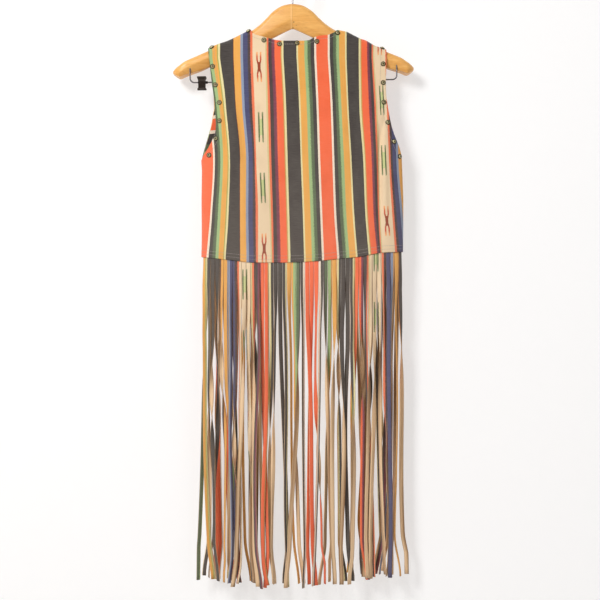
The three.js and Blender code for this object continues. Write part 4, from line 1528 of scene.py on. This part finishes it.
@dataclass
class Fringe:
    """The three bands of fringe: a strip inside each hem, with strands cut down from it."""

    finishes: Finishes
    pitch: float = 8.3
    width: float = 8.0
    thickness: float = 1.2
    length: float = 595.0
    uneven: float = 10.0
    sink: float = 4.0
    strip_bottom: float = 0.6
    strip_top: float = 9.0
    strip_wall: float = 1.6
    apart: float = 8.75
    levels: int = 60
    step: float = 2.1
    strip_offset: float = -(0.7 + 0.3 + 0.8)
    red_stripe_x: float = 35.5
    print_shift: tuple[float, float, float] = (0.0, 75.4, 24.0)
    print_rise: float = 46.0
    drift: float = 34.0
    lane: float = 26.0
    sway: float = 7.0
    curl: float = 26.0
    lean: float = 2.2
    arch: float = 1.6
    pushes: int = 14
    seeds: tuple[int, int, int] = (1, 101, 201)

    def build(self, plain: Sequence[Sheet], cloth: Sequence[Sheet]) -> list[bpy.types.Object]:
        """Returns the three bands.

        Args:
            plain: The panels' plain forms, which the strands hang from.
            cloth: The finished panels, which the strips lie in.
        """
        strands = self._roots(plain)
        self._lay(strands)
        pieces = []
        for band, sheet in enumerate(cloth):
            mould = Mould()
            self._strip(mould, sheet)
            for strand in strands:
                if strand.band == band:
                    self._ribbon(mould, strand)
            finishes = [self.finishes.cloth, self.finishes.strand_reverse]
            piece = mould.cast(f"{sheet.name}_fringe", finishes)
            pieces.append(hand_over(piece, "fringe_cloth", f"fringe_{sheet.name}"))
        return pieces

    def _roots(self, sheets: Sequence[Sheet]) -> list[Strand]:
        """Returns the strands at their roots, a pitch apart along each band."""
        strands = []
        for band, sheet in enumerate(sheets):
            last = len(sheet.grid[0]) - 1
            first = 1 if Side.LEFT in sheet.seams else 0
            final = last - 1 if Side.RIGHT in sheet.seams else last
            middle = [
                sheet.grid[0][j] + sheet.normals[0][j] * self.strip_offset
                for j in range(first, final + 1)
            ]
            strands.extend(self._band_roots(band, sheet.half.sign, middle))
        return strands

    def _band_roots(self, band: int, sign: int, middle: Sequence[Vector]) -> Iterable[Strand]:
        """Yields one band's strands along the middle line of its strip.

        Args:
            band: The band's number: the back, the left front or the right front.
            sign: Which way its panel faces along Y.
            middle: The points of the strip's middle line.
        """
        run = run_along([point.xy for point in middle])

        def point_at(goal: float) -> Vector:
            i, share = step_at(run, goal)
            return middle[i - 1].lerp(middle[i], share)

        count = math.floor(run[-1] / self.pitch)
        start = (run[-1] - count * self.pitch) / 2
        zero = 0.0
        for i in range(1, len(run)):
            if middle[i - 1].x < self.red_stripe_x:
                share = (self.red_stripe_x - middle[i - 1].x) / (middle[i].x - middle[i - 1].x)
                zero = mix(run[i - 1], run[i], min(share, 1.0))
        for k in range(count):
            goal = start + (k + 0.5) * self.pitch
            low = point_at(goal - self.width / 2)
            high = point_at(goal + self.width / 2)
            along = high - low
            faces = math.atan2(along.x * sign, -along.y * sign)
            anchor = low.lerp(high, 0.5)
            run_at = FRINGE_PRINT.read(goal - zero, "across") + self.print_shift[band]
            yield Strand(band, self.seeds[band] + k, anchor, faces, run_at, anchor.x, anchor.y)

    def _lay(self, strands: list[Strand]) -> None:
        """Hangs the strands: each drifts to a place of its own, and they push each other aside."""
        left, right = (SIDE_SEAMS.read(FRINGE_ROOT, side) for side in ("left", "right"))
        for level in range(self.levels + 1):
            share = level / self.levels
            for strand in strands:
                if level > 0:
                    goal_x, goal_y = self._goal(strand, share, left, right)
                    dx, dy = goal_x - strand.x, goal_y - strand.y
                    gap = math.hypot(dx, dy)
                    scale = min(1.0, self.step / gap) if gap > 0 else 0.0
                    strand.x += dx * scale
                    strand.y += dy * scale
            clear = mix(self.pitch, self.apart, ease(0, 0.12, share))
            if level > 0:
                for _ in range(self.pushes):
                    self._push_apart(strands, clear)
            for strand in strands:
                strand.path.append(self._stop(strand, share))

    def _goal(self, strand: Strand, share: float, left: float, right: float) -> Spot:
        """Returns the X and Y that a strand makes for at a share of its length."""
        index = strand.index
        drift = (scatter(index, 1) - 0.5) * self.drift
        lane = (scatter(index, 2) - 0.5) * self.lane - math.sin(strand.faces) * 3
        sway = (scatter(index, 4) - 0.5) * self.sway
        phase = scatter(index, 5) * math.pi * 2
        curl = (scatter(index, 10) - 0.5) * self.curl
        wave = sway * math.sin(share * 7 + phase) * ease(0, 0.3, share)
        aim = strand.anchor.x + drift * share**1.5 + wave + curl * ease(0.87, 1, share)
        goal_x = clamp(aim, left - 6 * share, right + 8 * share)
        return goal_x, strand.anchor.y + lane * ease(0.02, 0.45, share)

    @staticmethod
    def _push_apart(strands: list[Strand], clear: float) -> None:
        """Moves strands that are closer than they are wide apart by half of what they lack."""
        for a, one in enumerate(strands):
            for two in strands[a + 1:]:
                dx = two.x - one.x
                if -clear < dx < clear:
                    dy = two.y - one.y
                    gap = math.hypot(dx, dy)
                    if gap < clear:
                        push = (clear - gap) / 2 / max(gap, 1e-6)
                        one.x -= dx * push
                        one.y -= dy * push
                        two.x += dx * push
                        two.y += dy * push

    def _stop(self, strand: Strand, share: float) -> tuple[float, float, float, float]:
        """Returns a strand's X, Y and Z and the way that it faces at a share of its length."""
        index = strand.index
        chance = scatter(index, 3)
        turns = SET_TURNS.get(index, (chance >= 0.25) + (chance >= 0.82))
        way = -1 if scatter(index, 6) < 0.5 else 1
        turn_at = mix(0.22, 0.62, scatter(index, 7))
        lean = (scatter(index, 8) - 0.5) * self.lean
        reach = self.length + (scatter(index, 9) - 0.5) * self.uneven
        z = strand.anchor.z - 0.5 - share * reach
        flip = turns * math.pi * ease(turn_at - 0.2, turn_at + 0.25, share)
        angle = strand.faces + way * flip + lean * ease(0.0, 0.2, share)
        return strand.x, strand.y, z, angle

    def _strip(self, mould: Mould, sheet: Sheet) -> None:
        """Adds the strip inside a hem that the strands are cut from."""
        last = len(sheet.grid[0]) - 1
        first = 3 if Side.LEFT in sheet.seams else 1
        final = last - 3 if Side.RIGHT in sheet.seams else last - 1
        grid, normals = [], []
        for share in (0.0, 0.5, 1.0):
            lift = mix(self.strip_bottom, self.strip_top, share)
            pairs = [sheet.inwards(Side.BOTTOM, j, lift) for j in range(first, final + 1)]
            grid.append([point for point, _ in pairs])
            normals.append([sheet.normals[0][j] for j in range(first, final + 1)])
        shell = Shell(grid, normals, sheet.half.sign, self.strip_wall, self.strip_offset, 0.3)

        def place(i: int, j: int) -> Spot:
            return grid[0][j].x - self.red_stripe_x, -grid[i][j].z

        shell.pour(mould, place, lambda i, j: False)

    def _ribbon(self, mould: Mould, strand: Strand) -> None:
        """Adds one strand: a ribbon, arched a little across and printed on its first outer face."""
        arch = (scatter(strand.index, 11) - 0.35) * self.arch
        shares = (-0.5, -0.25, 0.0, 0.25, 0.5)
        front, rear = [], []
        x, y, z, angle = strand.path[0]
        stops = [(x, y, z + self.sink, angle), *strand.path[1:]]
        for level, (x, y, z, angle) in enumerate(stops):
            out = Vector((math.cos(angle), math.sin(angle), 0))
            across = Vector((-out.y, out.x, 0))
            bend = arch * ease(0.0, 0.2, level / self.levels)
            front.append([])
            rear.append([])
            for share in shares:
                lift = bend * (0.25 - share * share) * 4 - bend * 0.6
                spot = Vector((x, y, z)) + across * (share * self.width) + out * lift
                place = (strand.run - share * self.width * self._side(strand), -z + self.print_rise)
                half = self.thickness / 2 * (0.75 if abs(share) == 0.5 else 1.0)
                front[-1].append(mould.add(spot + out * half, place))
                rear[-1].append(mould.add(spot - out * half, place))
        last = len(shares) - 1
        for (f, r), (g, s) in pairwise(zip(front, rear)):
            for j in range(last):
                mould.face([f[j], g[j], g[j + 1], f[j + 1]], 0)
                mould.face([r[j], r[j + 1], s[j + 1], s[j]], 1)
            mould.face([f[0], r[0], s[0], g[0]], 1)
            mould.face([f[last], g[last], s[last], r[last]], 1)
        for end, way in ((0, 1), (-1, -1)):
            mould.face((front[end] + rear[end][::-1])[::way], 1)

    @staticmethod
    def _side(strand: Strand) -> int:
        """Returns which way the print runs across a strand that faces the back or the front."""
        return 1 if math.sin(strand.faces) > 0 else -1


# ---- studs


NECK_STUDS = (
    (-81, -107.2), (-52.5, -124.6), (-23.8, -132.4), (8.1, -130.7), (44.5, -127.4), (82.6, -110.8),
)
LEFT_STUDS = (
    (-149, -135.6), (-147.6, -171.2), (-142.4, -205.6), (-134.6, -239), (-134.3, -273),
    (-140.9, -305.4), (-153.6, -335.6),
)
RIGHT_STUDS = (
    (166.2, -137), (167.4, -166.4), (167.6, -201.2), (168.4, -237.8), (175.4, -275.4),
    (186.9, -310.6), (197.4, -337.4),
)
FRONT_STUD_HEIGHTS = (-168, -202, -236, -268, -300, -330)


@dataclass
class Studs:
    """The faceted studs round the neck and the armholes."""

    finishes: Finishes
    radius: float = 4.5
    facets: int = 10
    rim_height: float = 0.9
    dome_foot: float = 3.3
    dome_top: float = 1.5
    dome_height: float = 1.7
    dome_middle: float = 2.15
    inset: float = 6.6
    gap: float = 0.05
    slope_reach: float = 0.8
    edge_reach: float = 4.0

    def build(self) -> int:
        """Sets every stud on the cloth, and returns how many there are."""
        model = self._one_stud()
        places = [(f"stud_neck_{k + 1}", BACK, x, z) for k, (x, z) in enumerate(NECK_STUDS)]
        for side, spots in ((Side.LEFT, LEFT_STUDS), (Side.RIGHT, RIGHT_STUDS)):
            name = f"stud_armhole_{side.value}_"
            places += [(f"{name}{k + 1}", BACK, x, z) for k, (x, z) in enumerate(spots)]
            for k, z in enumerate(FRONT_STUD_HEIGHTS):
                x = self._front_x(side, z)
                places.append((f"{name}{len(spots) + k + 1}", FRONT, x, z))
        for name, half, x, z in places:
            self._set(model, name, half, x, z)
        bpy.data.objects.remove(model)
        return len(places)

    def _front_x(self, side: Side, z: float) -> float:
        """Returns where a front's stud lies at a height, in from the armhole's edge."""
        edge, reach = FRONT_ARMHOLE, self.edge_reach
        rise = edge.read(z + reach, side.value) - edge.read(z - reach, side.value)
        slope = rise / (2 * reach)
        inwards = 1 if side is Side.LEFT else -1
        return edge.read(z, side.value) + inwards * self.inset * math.hypot(1, slope)

    def _one_stud(self) -> bpy.types.Object:
        """Returns a stud that stands on the origin along +Z: a ringed rim and a cut dome."""
        clear_selection()
        bpy.ops.mesh.primitive_cylinder_add(
            vertices=self.facets * 2, radius=self.radius * MM, depth=self.rim_height * MM,
            location=(0, 0, self.rim_height / 2 * MM),
        )
        rim = chosen("stud_rim", [self.finishes.rim, self.finishes.facet])
        settle_place(rim)
        self._shape_rim(rim)
        bpy.ops.mesh.primitive_cone_add(
            vertices=self.facets, radius1=self.dome_foot * MM, radius2=self.dome_top * MM,
            depth=self.dome_height * MM, location=(0, 0, self.dome_middle * MM),
        )
        dome = chosen("stud_dome", [self.finishes.rim, self.finishes.facet])
        settle_place(dome)
        # Painted reflection: the dome's outward-facing top takes the dark rim tone and its sloping
        # faces the light facet tone.
        for face in dome.data.polygons:
            face.material_index = 0 if face.normal.z > FACING else 1
        return join_pieces("stud", [rim, dome])

    def _shape_rim(self, rim: bpy.types.Object) -> None:
        """Raises the rim's ring from its top face, and rounds it."""
        select_alone(rim)
        bpy.ops.object.mode_set(mode="EDIT")
        bpy.ops.mesh.select_all(action="DESELECT")
        mesh = bmesh.from_edit_mesh(rim.data)
        for face in mesh.faces:
            face.select = face.normal.z > FACING
        bmesh.update_edit_mesh(rim.data)
        for inset, rise in ((0.35, 0.75), (0.55, 0.0), (0.25, -0.5)):
            bpy.ops.mesh.inset(thickness=inset * MM)
            bpy.ops.transform.translate(value=(0, 0, rise * MM))
        bpy.ops.object.mode_set(mode="OBJECT")

    def _set(self, model: bpy.types.Object, name: str, half: Half, x: float, z: float) -> None:
        """Sets a copy of the stud on the cloth's outer face.

        Args:
            model: The stud to copy.
            name: The stud's name.
            half: The surface that it stands on.
            x: Where along the garment.
            z: At what height.
        """
        reach = self.slope_reach

        def at(dx: float, dz: float) -> Vector:
            return Vector((x + dx, half.depth_at(x + dx, z + dz, True), z + dz))

        across = at(reach, 0) - at(-reach, 0)
        up = at(0, reach) - at(0, -reach)
        normal = (across.cross(up) * -half.sign).normalized()
        foot = at(0, 0) + normal * (CUT.wall / 2 + self.gap)
        turn = Vector((0, 0, 1)).rotation_difference(normal).to_matrix().to_4x4()
        piece = placed(f"{name}_head", model.data.copy())
        piece.data.transform(Matrix.Translation(foot * MM) @ turn)
        hand_over(piece, "aged_metal", name)


# ---- the hanger


def level_of_hanger() -> Matrix:
    """Returns how the wood, the bar and the clip hang a little off level, in millimetres."""
    centre = Vector((0, 0, -80))
    tilt = Matrix.Rotation(math.radians(-0.9), 4, "Y")
    return Matrix.Translation(centre) @ tilt @ Matrix.Translation(-centre)


# How far in and down from the wood's top corner its rounded shoulder runs, at full depth.
WOOD_SHOULDER = ((5.5, 1.8), (2, 5), (0, 10))
# How the hook's stem bends aside under its loop: how far out, and how far up from the bend's foot.
HOOK_BEND = ((0, -4), (0, 0), (0.35, 0.75), (2.4, 5.25), (6.5, 9.5), (11.2, 14.5))


@dataclass
class Hanger:
    """The shaped wooden hanger with its hook, its trouser bar and a clip on the bar."""

    finishes: Finishes
    full_depth: float = 32.0
    corner_cuts: Spot = (0.05, 0.22)
    station_pitch: float = 4.5
    hook_wire: float = 3.2
    hook_radius: float = 16.5
    stem_bottom: float = -69.0
    neck: float = -45.0
    hook_start: float = -38.0
    hook_end: float = 212.0
    bar_wire: float = 2.5
    bar_reach: float = 191.5
    bar_top: float = -162.0
    bar_level: float = -196.9
    bar_y: float = 6.5
    bar_corner: float = 8.0
    clip_x: float = -170.0
    clip_drop: float = 1.8
    jaw_aside: float = 5.6
    jaw_size: tuple[float, ...] = (16.8, 1.7, 24.6)
    jaw_cuts: tuple[float, ...] = (-10.2, -7.5, -3.5, 3.0, 7.0, 9.6)
    jaw_panels: tuple[Spot, ...] = ((3.0, 9.0), (-9.6, -3.5))
    jaw_waist: Spot = (-7.8, 7.3)
    waist_share: float = 0.79
    mouth_pinch: float = 3.2
    grip_flare: float = 0.6
    pad_aside: float = 1.3
    pad_drop: float = 9.6
    pad_size: tuple[float, ...] = (13.0, 1.6, 4.4)
    spring_turns: int = 5
    spring_pitch: float = 2.3

    def build(self) -> None:
        """Builds the whole hanger."""
        self.wood()
        self.hook()
        self.bar()
        self.clip()

    def _section(self, x: float) -> list[Vector]:
        """Returns the wood's rounded section at a place along it."""
        distance = abs(x)
        top = WOOD_PROFILE.read(distance, "top")
        bottom = WOOD_PROFILE.read(distance, "bottom")
        half = WOOD_PROFILE.read(distance, "thick") / 2
        chamfer = WOOD_PROFILE.read(distance, "chamfer")
        scale = min(1.0, (top - bottom) / self.full_depth)
        corners = [(half - dy * scale, top - dz * scale) for dy, dz in WOOD_SHOULDER]
        corners = [(0.0, top), *corners, (half, bottom + chamfer), (half - 0.6 * chamfer, bottom)]
        ring = corners + [(-y, z) for y, z in reversed(corners[1:])]
        for share in self.corner_cuts:
            cut = []
            for (y0, z0), (y1, z1) in zip(ring, ring[1:] + ring[:1]):
                cut.append((mix(y0, y1, share), mix(z0, z1, share)))
                cut.append((mix(y0, y1, 1 - share), mix(z0, z1, 1 - share)))
            ring = cut
        middle = wood_middle(x)
        return [Vector((x, middle + y, z)) for y, z in ring]

    def wood(self) -> None:
        """Builds the wood from a grid of faces drawn round its sections."""
        reach = WOOD_PROFILE.places[-1]
        right = (60, 188, 212, reach)
        stations = subdivided([*(-x for x in reversed(right)), *right], self.station_pitch)
        rings = [self._section(x) for x in stations]
        around = len(rings[0])
        clear_selection()
        bpy.ops.mesh.primitive_grid_add(
            x_subdivisions=len(stations) - 1, y_subdivisions=around, size=1.0
        )
        piece = chosen("hanger_wood_shaped", [self.finishes.wood])
        level = level_of_hanger()
        columns = len(stations)
        for number, vertex in enumerate(piece.data.vertices):
            j, i = divmod(number, columns)
            vertex.co = (level @ rings[i][j % around]) * MM
        select_alone(piece)
        bpy.ops.object.mode_set(mode="EDIT")
        for mend, settings in (
            (bpy.ops.mesh.remove_doubles, {"threshold": 0.02 * MM}),
            (bpy.ops.mesh.fill_holes, {"sides": around + 2}),
            (bpy.ops.mesh.normals_make_consistent, {"inside": False}),
        ):
            bpy.ops.mesh.select_all(action="SELECT")
            mend(**settings)
        bpy.ops.object.mode_set(mode="OBJECT")
        bpy.ops.object.shade_smooth_by_angle(angle=math.radians(24))
        hand_over(piece, "honey_wood", "hanger_wood")

    def _wire(
        self,
        name: str,
        stops: Sequence[Vector],
        diameter: float,
        level: Matrix,
        finish: bpy.types.Material,
    ) -> bpy.types.Object:
        """Returns a round wire through stops.

        Args:
            name: The wire's name.
            stops: The points that its middle goes through.
            diameter: How thick it is.
            level: How it hangs off level.
            finish: What it is made of.
        """
        curve = bpy.data.curves.new(name, "CURVE")
        curve.dimensions = "3D"
        curve.bevel_depth = diameter / 2 * MM
        curve.bevel_resolution = 5
        curve.use_fill_caps = True
        spline = curve.splines.new("POLY")
        spline.points.add(len(stops) - 1)
        for point, stop in zip(spline.points, stops):
            point.co = (*((level @ stop) * MM), 1.0)
        piece = placed(name, curve)
        select_alone(piece)
        bpy.ops.object.convert(target="MESH")
        piece.data.materials.clear()
        piece.data.materials.append(finish)
        bpy.ops.object.shade_smooth_by_angle(angle=math.radians(50))
        return piece

    def hook(self) -> None:
        """Builds the hook: a stem that bends aside into an open loop."""
        radius = self.hook_radius + self.hook_wire / 2
        rise = self.neck - 4
        bend = [(0, self.stem_bottom), *((x, rise + up) for x, up in HOOK_BEND)]
        arcs = 40
        for k in range(arcs + 1):
            angle = math.radians(mix(self.hook_start, self.hook_end, k / arcs))
            bend.append((radius * math.cos(angle), -self.hook_radius + radius * math.sin(angle)))
        stops = smooth_line([Vector((x, 0, z)) for x, z in bend], 4)
        level = Matrix.Identity(4)
        piece = self._wire("hanger_hook_wire", stops, self.hook_wire, level, self.finishes.plated)
        hand_over(piece, "steel_wire", "hanger_hook")

    def bar(self) -> None:
        """Builds the trouser bar: a level wire whose ends turn up into the wood."""
        stops = []
        arcs = 10
        for side in (-1, 1):
            end = [Vector((side * self.bar_reach, self.bar_y, self.bar_top))]
            for k in range(arcs + 1):
                angle = math.pi / 2 * k / arcs
                x = side * (self.bar_reach - self.bar_corner * (1 - math.cos(angle)))
                z = self.bar_level + self.bar_corner * (1 - math.sin(angle))
                end.append(Vector((x, self.bar_y, z)))
            stops += end if side < 0 else end[::-1]
        level = level_of_hanger()
        piece = self._wire("hanger_bar_wire", stops, self.bar_wire, level, self.finishes.steel)
        hand_over(piece, "steel_wire", "hanger_bar")

    def clip(self) -> None:
        """Builds the clip: two waisted jaws, the spring barrel between them and a collar."""
        jaws = [self._jaw(side) for side in (-1, 1)]
        hub = self._barrel(2.5, 5.0, self.clip_x + 8.5)
        parts = [*jaws, self._barrel(4.4, 10.5, self.clip_x), hub, *self._spring()]
        parts += [self._pad(side) for side in (-1, 1)]
        piece = join_pieces("hanger_clip_jaws", parts)
        level = Matrix.Scale(MM, 4) @ level_of_hanger() @ Matrix.Scale(1 / MM, 4)
        piece.data.transform(level)
        hand_over(piece, "black_steel", "hanger_clip")

    def _jaw(self, side: int) -> bpy.types.Object:
        """Returns one jaw, waisted at the bar, flared at its grip and turned in at its mouth."""
        level = self.bar_level - self.clip_drop
        place = Vector((self.clip_x, self.bar_y + side * self.jaw_aside, level)) * MM
        jaw = add_block("clip_jaw", place, self.jaw_size, self.finishes.black)
        bpy.ops.object.mode_set(mode="EDIT")
        for height in self.jaw_cuts:
            bpy.ops.mesh.select_all(action="SELECT")
            cut = place + Vector((0, 0, height)) * MM
            bpy.ops.mesh.bisect(plane_co=cut, plane_no=(0, 0, 1))
        bpy.ops.mesh.select_all(action="DESELECT")
        mesh = bmesh.from_edit_mesh(jaw.data)
        for face in mesh.faces:
            up = (face.calc_center_median().z - place.z) / MM
            outer = face.normal.y * side > FACING
            face.select = outer and any(low < up < high for low, high in self.jaw_panels)
        bmesh.update_edit_mesh(jaw.data)
        bpy.ops.mesh.inset(thickness=1.6 * MM)
        bpy.ops.transform.translate(value=(0, -side * 0.55 * MM, 0))
        mesh = bmesh.from_edit_mesh(jaw.data)
        for vertex in mesh.verts:
            up = (vertex.co.z - place.z) / MM
            if self.jaw_waist[0] < up < self.jaw_waist[1]:
                vertex.co.x = mix(place.x, vertex.co.x, self.waist_share)
            pinch = self.mouth_pinch * ease(3, -12, up) - self.grip_flare * ease(0, 12, up)
            vertex.co.y -= side * pinch * MM
        bmesh.update_edit_mesh(jaw.data)
        bevel(jaw, 0.3)
        return jaw

    def _spring(self) -> list[bpy.types.Object]:
        """Returns the turns of the clip's spring, which show in the jaws' waists."""
        turns = []
        for number in range(self.spring_turns):
            clear_selection()
            x = self.clip_x + (number - self.spring_turns // 2) * self.spring_pitch
            bpy.ops.mesh.primitive_torus_add(
                major_radius=5.0 * MM, minor_radius=0.7 * MM, major_segments=28, minor_segments=8,
                rotation=(0, math.pi / 2, 0), location=Vector((x, self.bar_y, self.bar_level)) * MM,
            )
            turn = chosen("clip_spring", [self.finishes.steel])
            settle_place(turn)
            bpy.ops.object.shade_smooth()
            turns.append(turn)
        return turns

    def _barrel(self, radius: float, length: float, x: float) -> bpy.types.Object:
        """Returns a short barrel round the bar, its ends bevelled."""
        clear_selection()
        bpy.ops.mesh.primitive_cylinder_add(
            vertices=24, radius=radius * MM, depth=length * MM, rotation=(0, math.pi / 2, 0),
            location=Vector((x, self.bar_y, self.bar_level)) * MM,
        )
        barrel = chosen("clip_barrel", [self.finishes.black])
        settle_place(barrel)
        bevel(barrel, 0.6)
        bpy.ops.object.shade_smooth_by_angle(angle=math.radians(35))
        return barrel

    def _pad(self, side: int) -> bpy.types.Object:
        """Returns the soft pad inside one jaw's mouth."""
        level = self.bar_level - self.clip_drop - self.pad_drop
        place = Vector((self.clip_x, self.bar_y + side * self.pad_aside, level)) * MM
        pad = add_block("clip_pad", place, self.pad_size, self.finishes.black)
        bevel(pad, 0.5)
        return pad


def smooth_line(stops: Sequence[Vector], steps: int) -> list[Vector]:
    """Returns a line that goes smoothly through every stop."""
    line = []
    for k in range(len(stops) - 1):
        before, here = stops[max(k - 1, 0)], stops[k]
        ahead, after = stops[k + 1], stops[min(k + 2, len(stops) - 1)]
        for s in range(steps):
            t = s / steps
            curve = (
                here * 2 + (ahead - before) * t
                + (before * 2 - here * 5 + ahead * 4 - after) * t**2
                + (here * 3 - before - ahead * 3 + after) * t**3
            )
            line.append(curve / 2)
    line.append(stops[-1].copy())
    return line


# ---- the vest


@dataclass
class Vest:
    """The vest: its three panels, their stitches, its fringe and its studs."""

    finishes: Finishes
    fringe_hung_from: str = "hanger_wood_shaped"

    def build(self) -> None:
        """Builds the whole vest."""
        plain = Tailor(False, 0.0, 0.0).all()
        cloth = Tailor(True, CUT.column_pitch, CUT.row_pitch).all()
        fringes = Fringe(self.finishes).build(plain, cloth)
        seamstress = Seamstress(self.finishes)
        printed = BackPrint()
        starts = {"back": 0.0, "front_left": -190.0, "front_right": -60.0}
        cuts = {
            "back": (0.394, 0.445, 0.148),
            "front_left": (0.119, 0.440, 0.0400),
            "front_right": (0.112, 0.431, 0.0395),
        }
        for sheet, fringe in zip(cloth, fringes):
            if sheet.half is BACK:
                place = printed.at
            else:
                place = self._front_place(starts[sheet.name])
            piece = seamstress.panel(sheet, place)
            stitches = seamstress.stitches(sheet)
            width, length, area = cuts[sheet.name]
            log.info("%s: %.4f square metres of cloth", sheet.name, self._area(sheet))
        log.info("studs: %d", Studs(self.finishes).build())

    @staticmethod
    def _front_place(start: float) -> Callable[[Vector], Spot]:
        """Returns how the print lies on a front, straight down it and level across it."""

        def place(point: Vector) -> Spot:
            return start - point.x * 1.02 + (point.z + 340) * 0.02, -point.z

        return place

    @staticmethod
    def _area(sheet: Sheet) -> float:
        """Returns a panel's area in square metres."""
        total = 0.0
        for low, high in pairwise(sheet.grid):
            for j in range(len(low) - 1):
                total += (low[j + 1] - low[j]).cross(high[j] - low[j]).length / 2
                total += (high[j] - high[j + 1]).cross(low[j + 1] - high[j + 1]).length / 2
        return total * MM * MM


# ---- the studio


# Each soft light's name, place, width and power.
LIGHTS = (
    ("key", (-1250, -2200, 800), 700, 58.0),
    ("fill", (1200, -2200, 0), 1200, 6.0),
    ("far", (300, 2200, 900), 1200, 20.0),
)
LIT_POINT = (13.8, 0, -560)


@dataclass
class Studio:
    """The pale floor and wall, the soft lights and the camera."""

    view_width: float = 1104.0
    wall_y: float = 58.0
    wall_z: float = 400.0
    floor_z: float = -1330.0
    plane_size: float = 8000.0
    world_strength: float = 0.29

    def build(self) -> None:
        """Builds the studio."""
        wall = Plaster("pale_wall", (188, 188, 188), 0.53, True)
        self._plane("wall", wall, (0, self.wall_y, self.wall_z), "X")
        self._plane("floor", Plaster("pale_floor", (206, 198, 192)), (0, 0, self.floor_z), "Z")
        for name, place, size, power in LIGHTS:
            self._light(name, place, size, power)
        self._world()
        self._camera()

    def _plane(self, name: str, finish: Plaster, place: Sequence[float], turn: str) -> None:
        """Adds a wall, which faces the camera, or a floor, which faces up."""
        clear_selection()
        bpy.ops.mesh.primitive_plane_add(size=self.plane_size * MM, location=Vector(place) * MM)
        if turn == "X":
            bpy.context.object.rotation_euler = (math.pi / 2, 0, 0)
        plane = chosen(name, [finish.build()])
        settle_place(plane)

    @staticmethod
    def _light(name: str, place: Sequence[float], size: float, power: float) -> None:
        """Adds a square soft light that faces the middle of the vest."""
        data = bpy.data.lights.new(name, "AREA")
        data.shape = "RECTANGLE"
        data.size = data.size_y = size * MM
        data.energy = power
        light = placed(name, data)
        light.location = Vector(place) * MM
        middle = Vector(LIT_POINT) * MM
        light.rotation_euler = (middle - light.location).to_track_quat("-Z", "Y").to_euler()

    def _world(self) -> None:
        """Gives the studio its even, slightly warm light."""
        world = bpy.data.worlds.new("soft_light")
        world.use_nodes = True
        background = world.node_tree.nodes["Background"]
        background.inputs["Color"].default_value = srgb(255, 250, 248)
        background.inputs["Strength"].default_value = self.world_strength
        bpy.context.scene.world = world
        bpy.context.scene.view_settings.view_transform = "Standard"

    def _camera(self) -> None:
        """Adds the level camera behind the wearer."""
        data = bpy.data.cameras.new("camera")
        distance = VIEW.cloth_y - VIEW.camera_y
        data.lens = data.sensor_width * distance / self.view_width
        camera = placed("camera", data)
        camera.location = Vector((VIEW.camera_x, VIEW.camera_y, VIEW.camera_z)) * MM
        camera.rotation_euler = (math.pi / 2, 0, 0)
        bpy.context.scene.camera = camera


def main() -> None:
    """Builds the hanger, the vest and the studio."""
    logging.basicConfig(level=logging.INFO, format="%(message)s")
    finishes = Finishes()
    Hanger(finishes).build()
    Vest(finishes).build()
    Studio().build()
    bpy.context.view_layer.update()


if __name__ == "__main__":
    main()
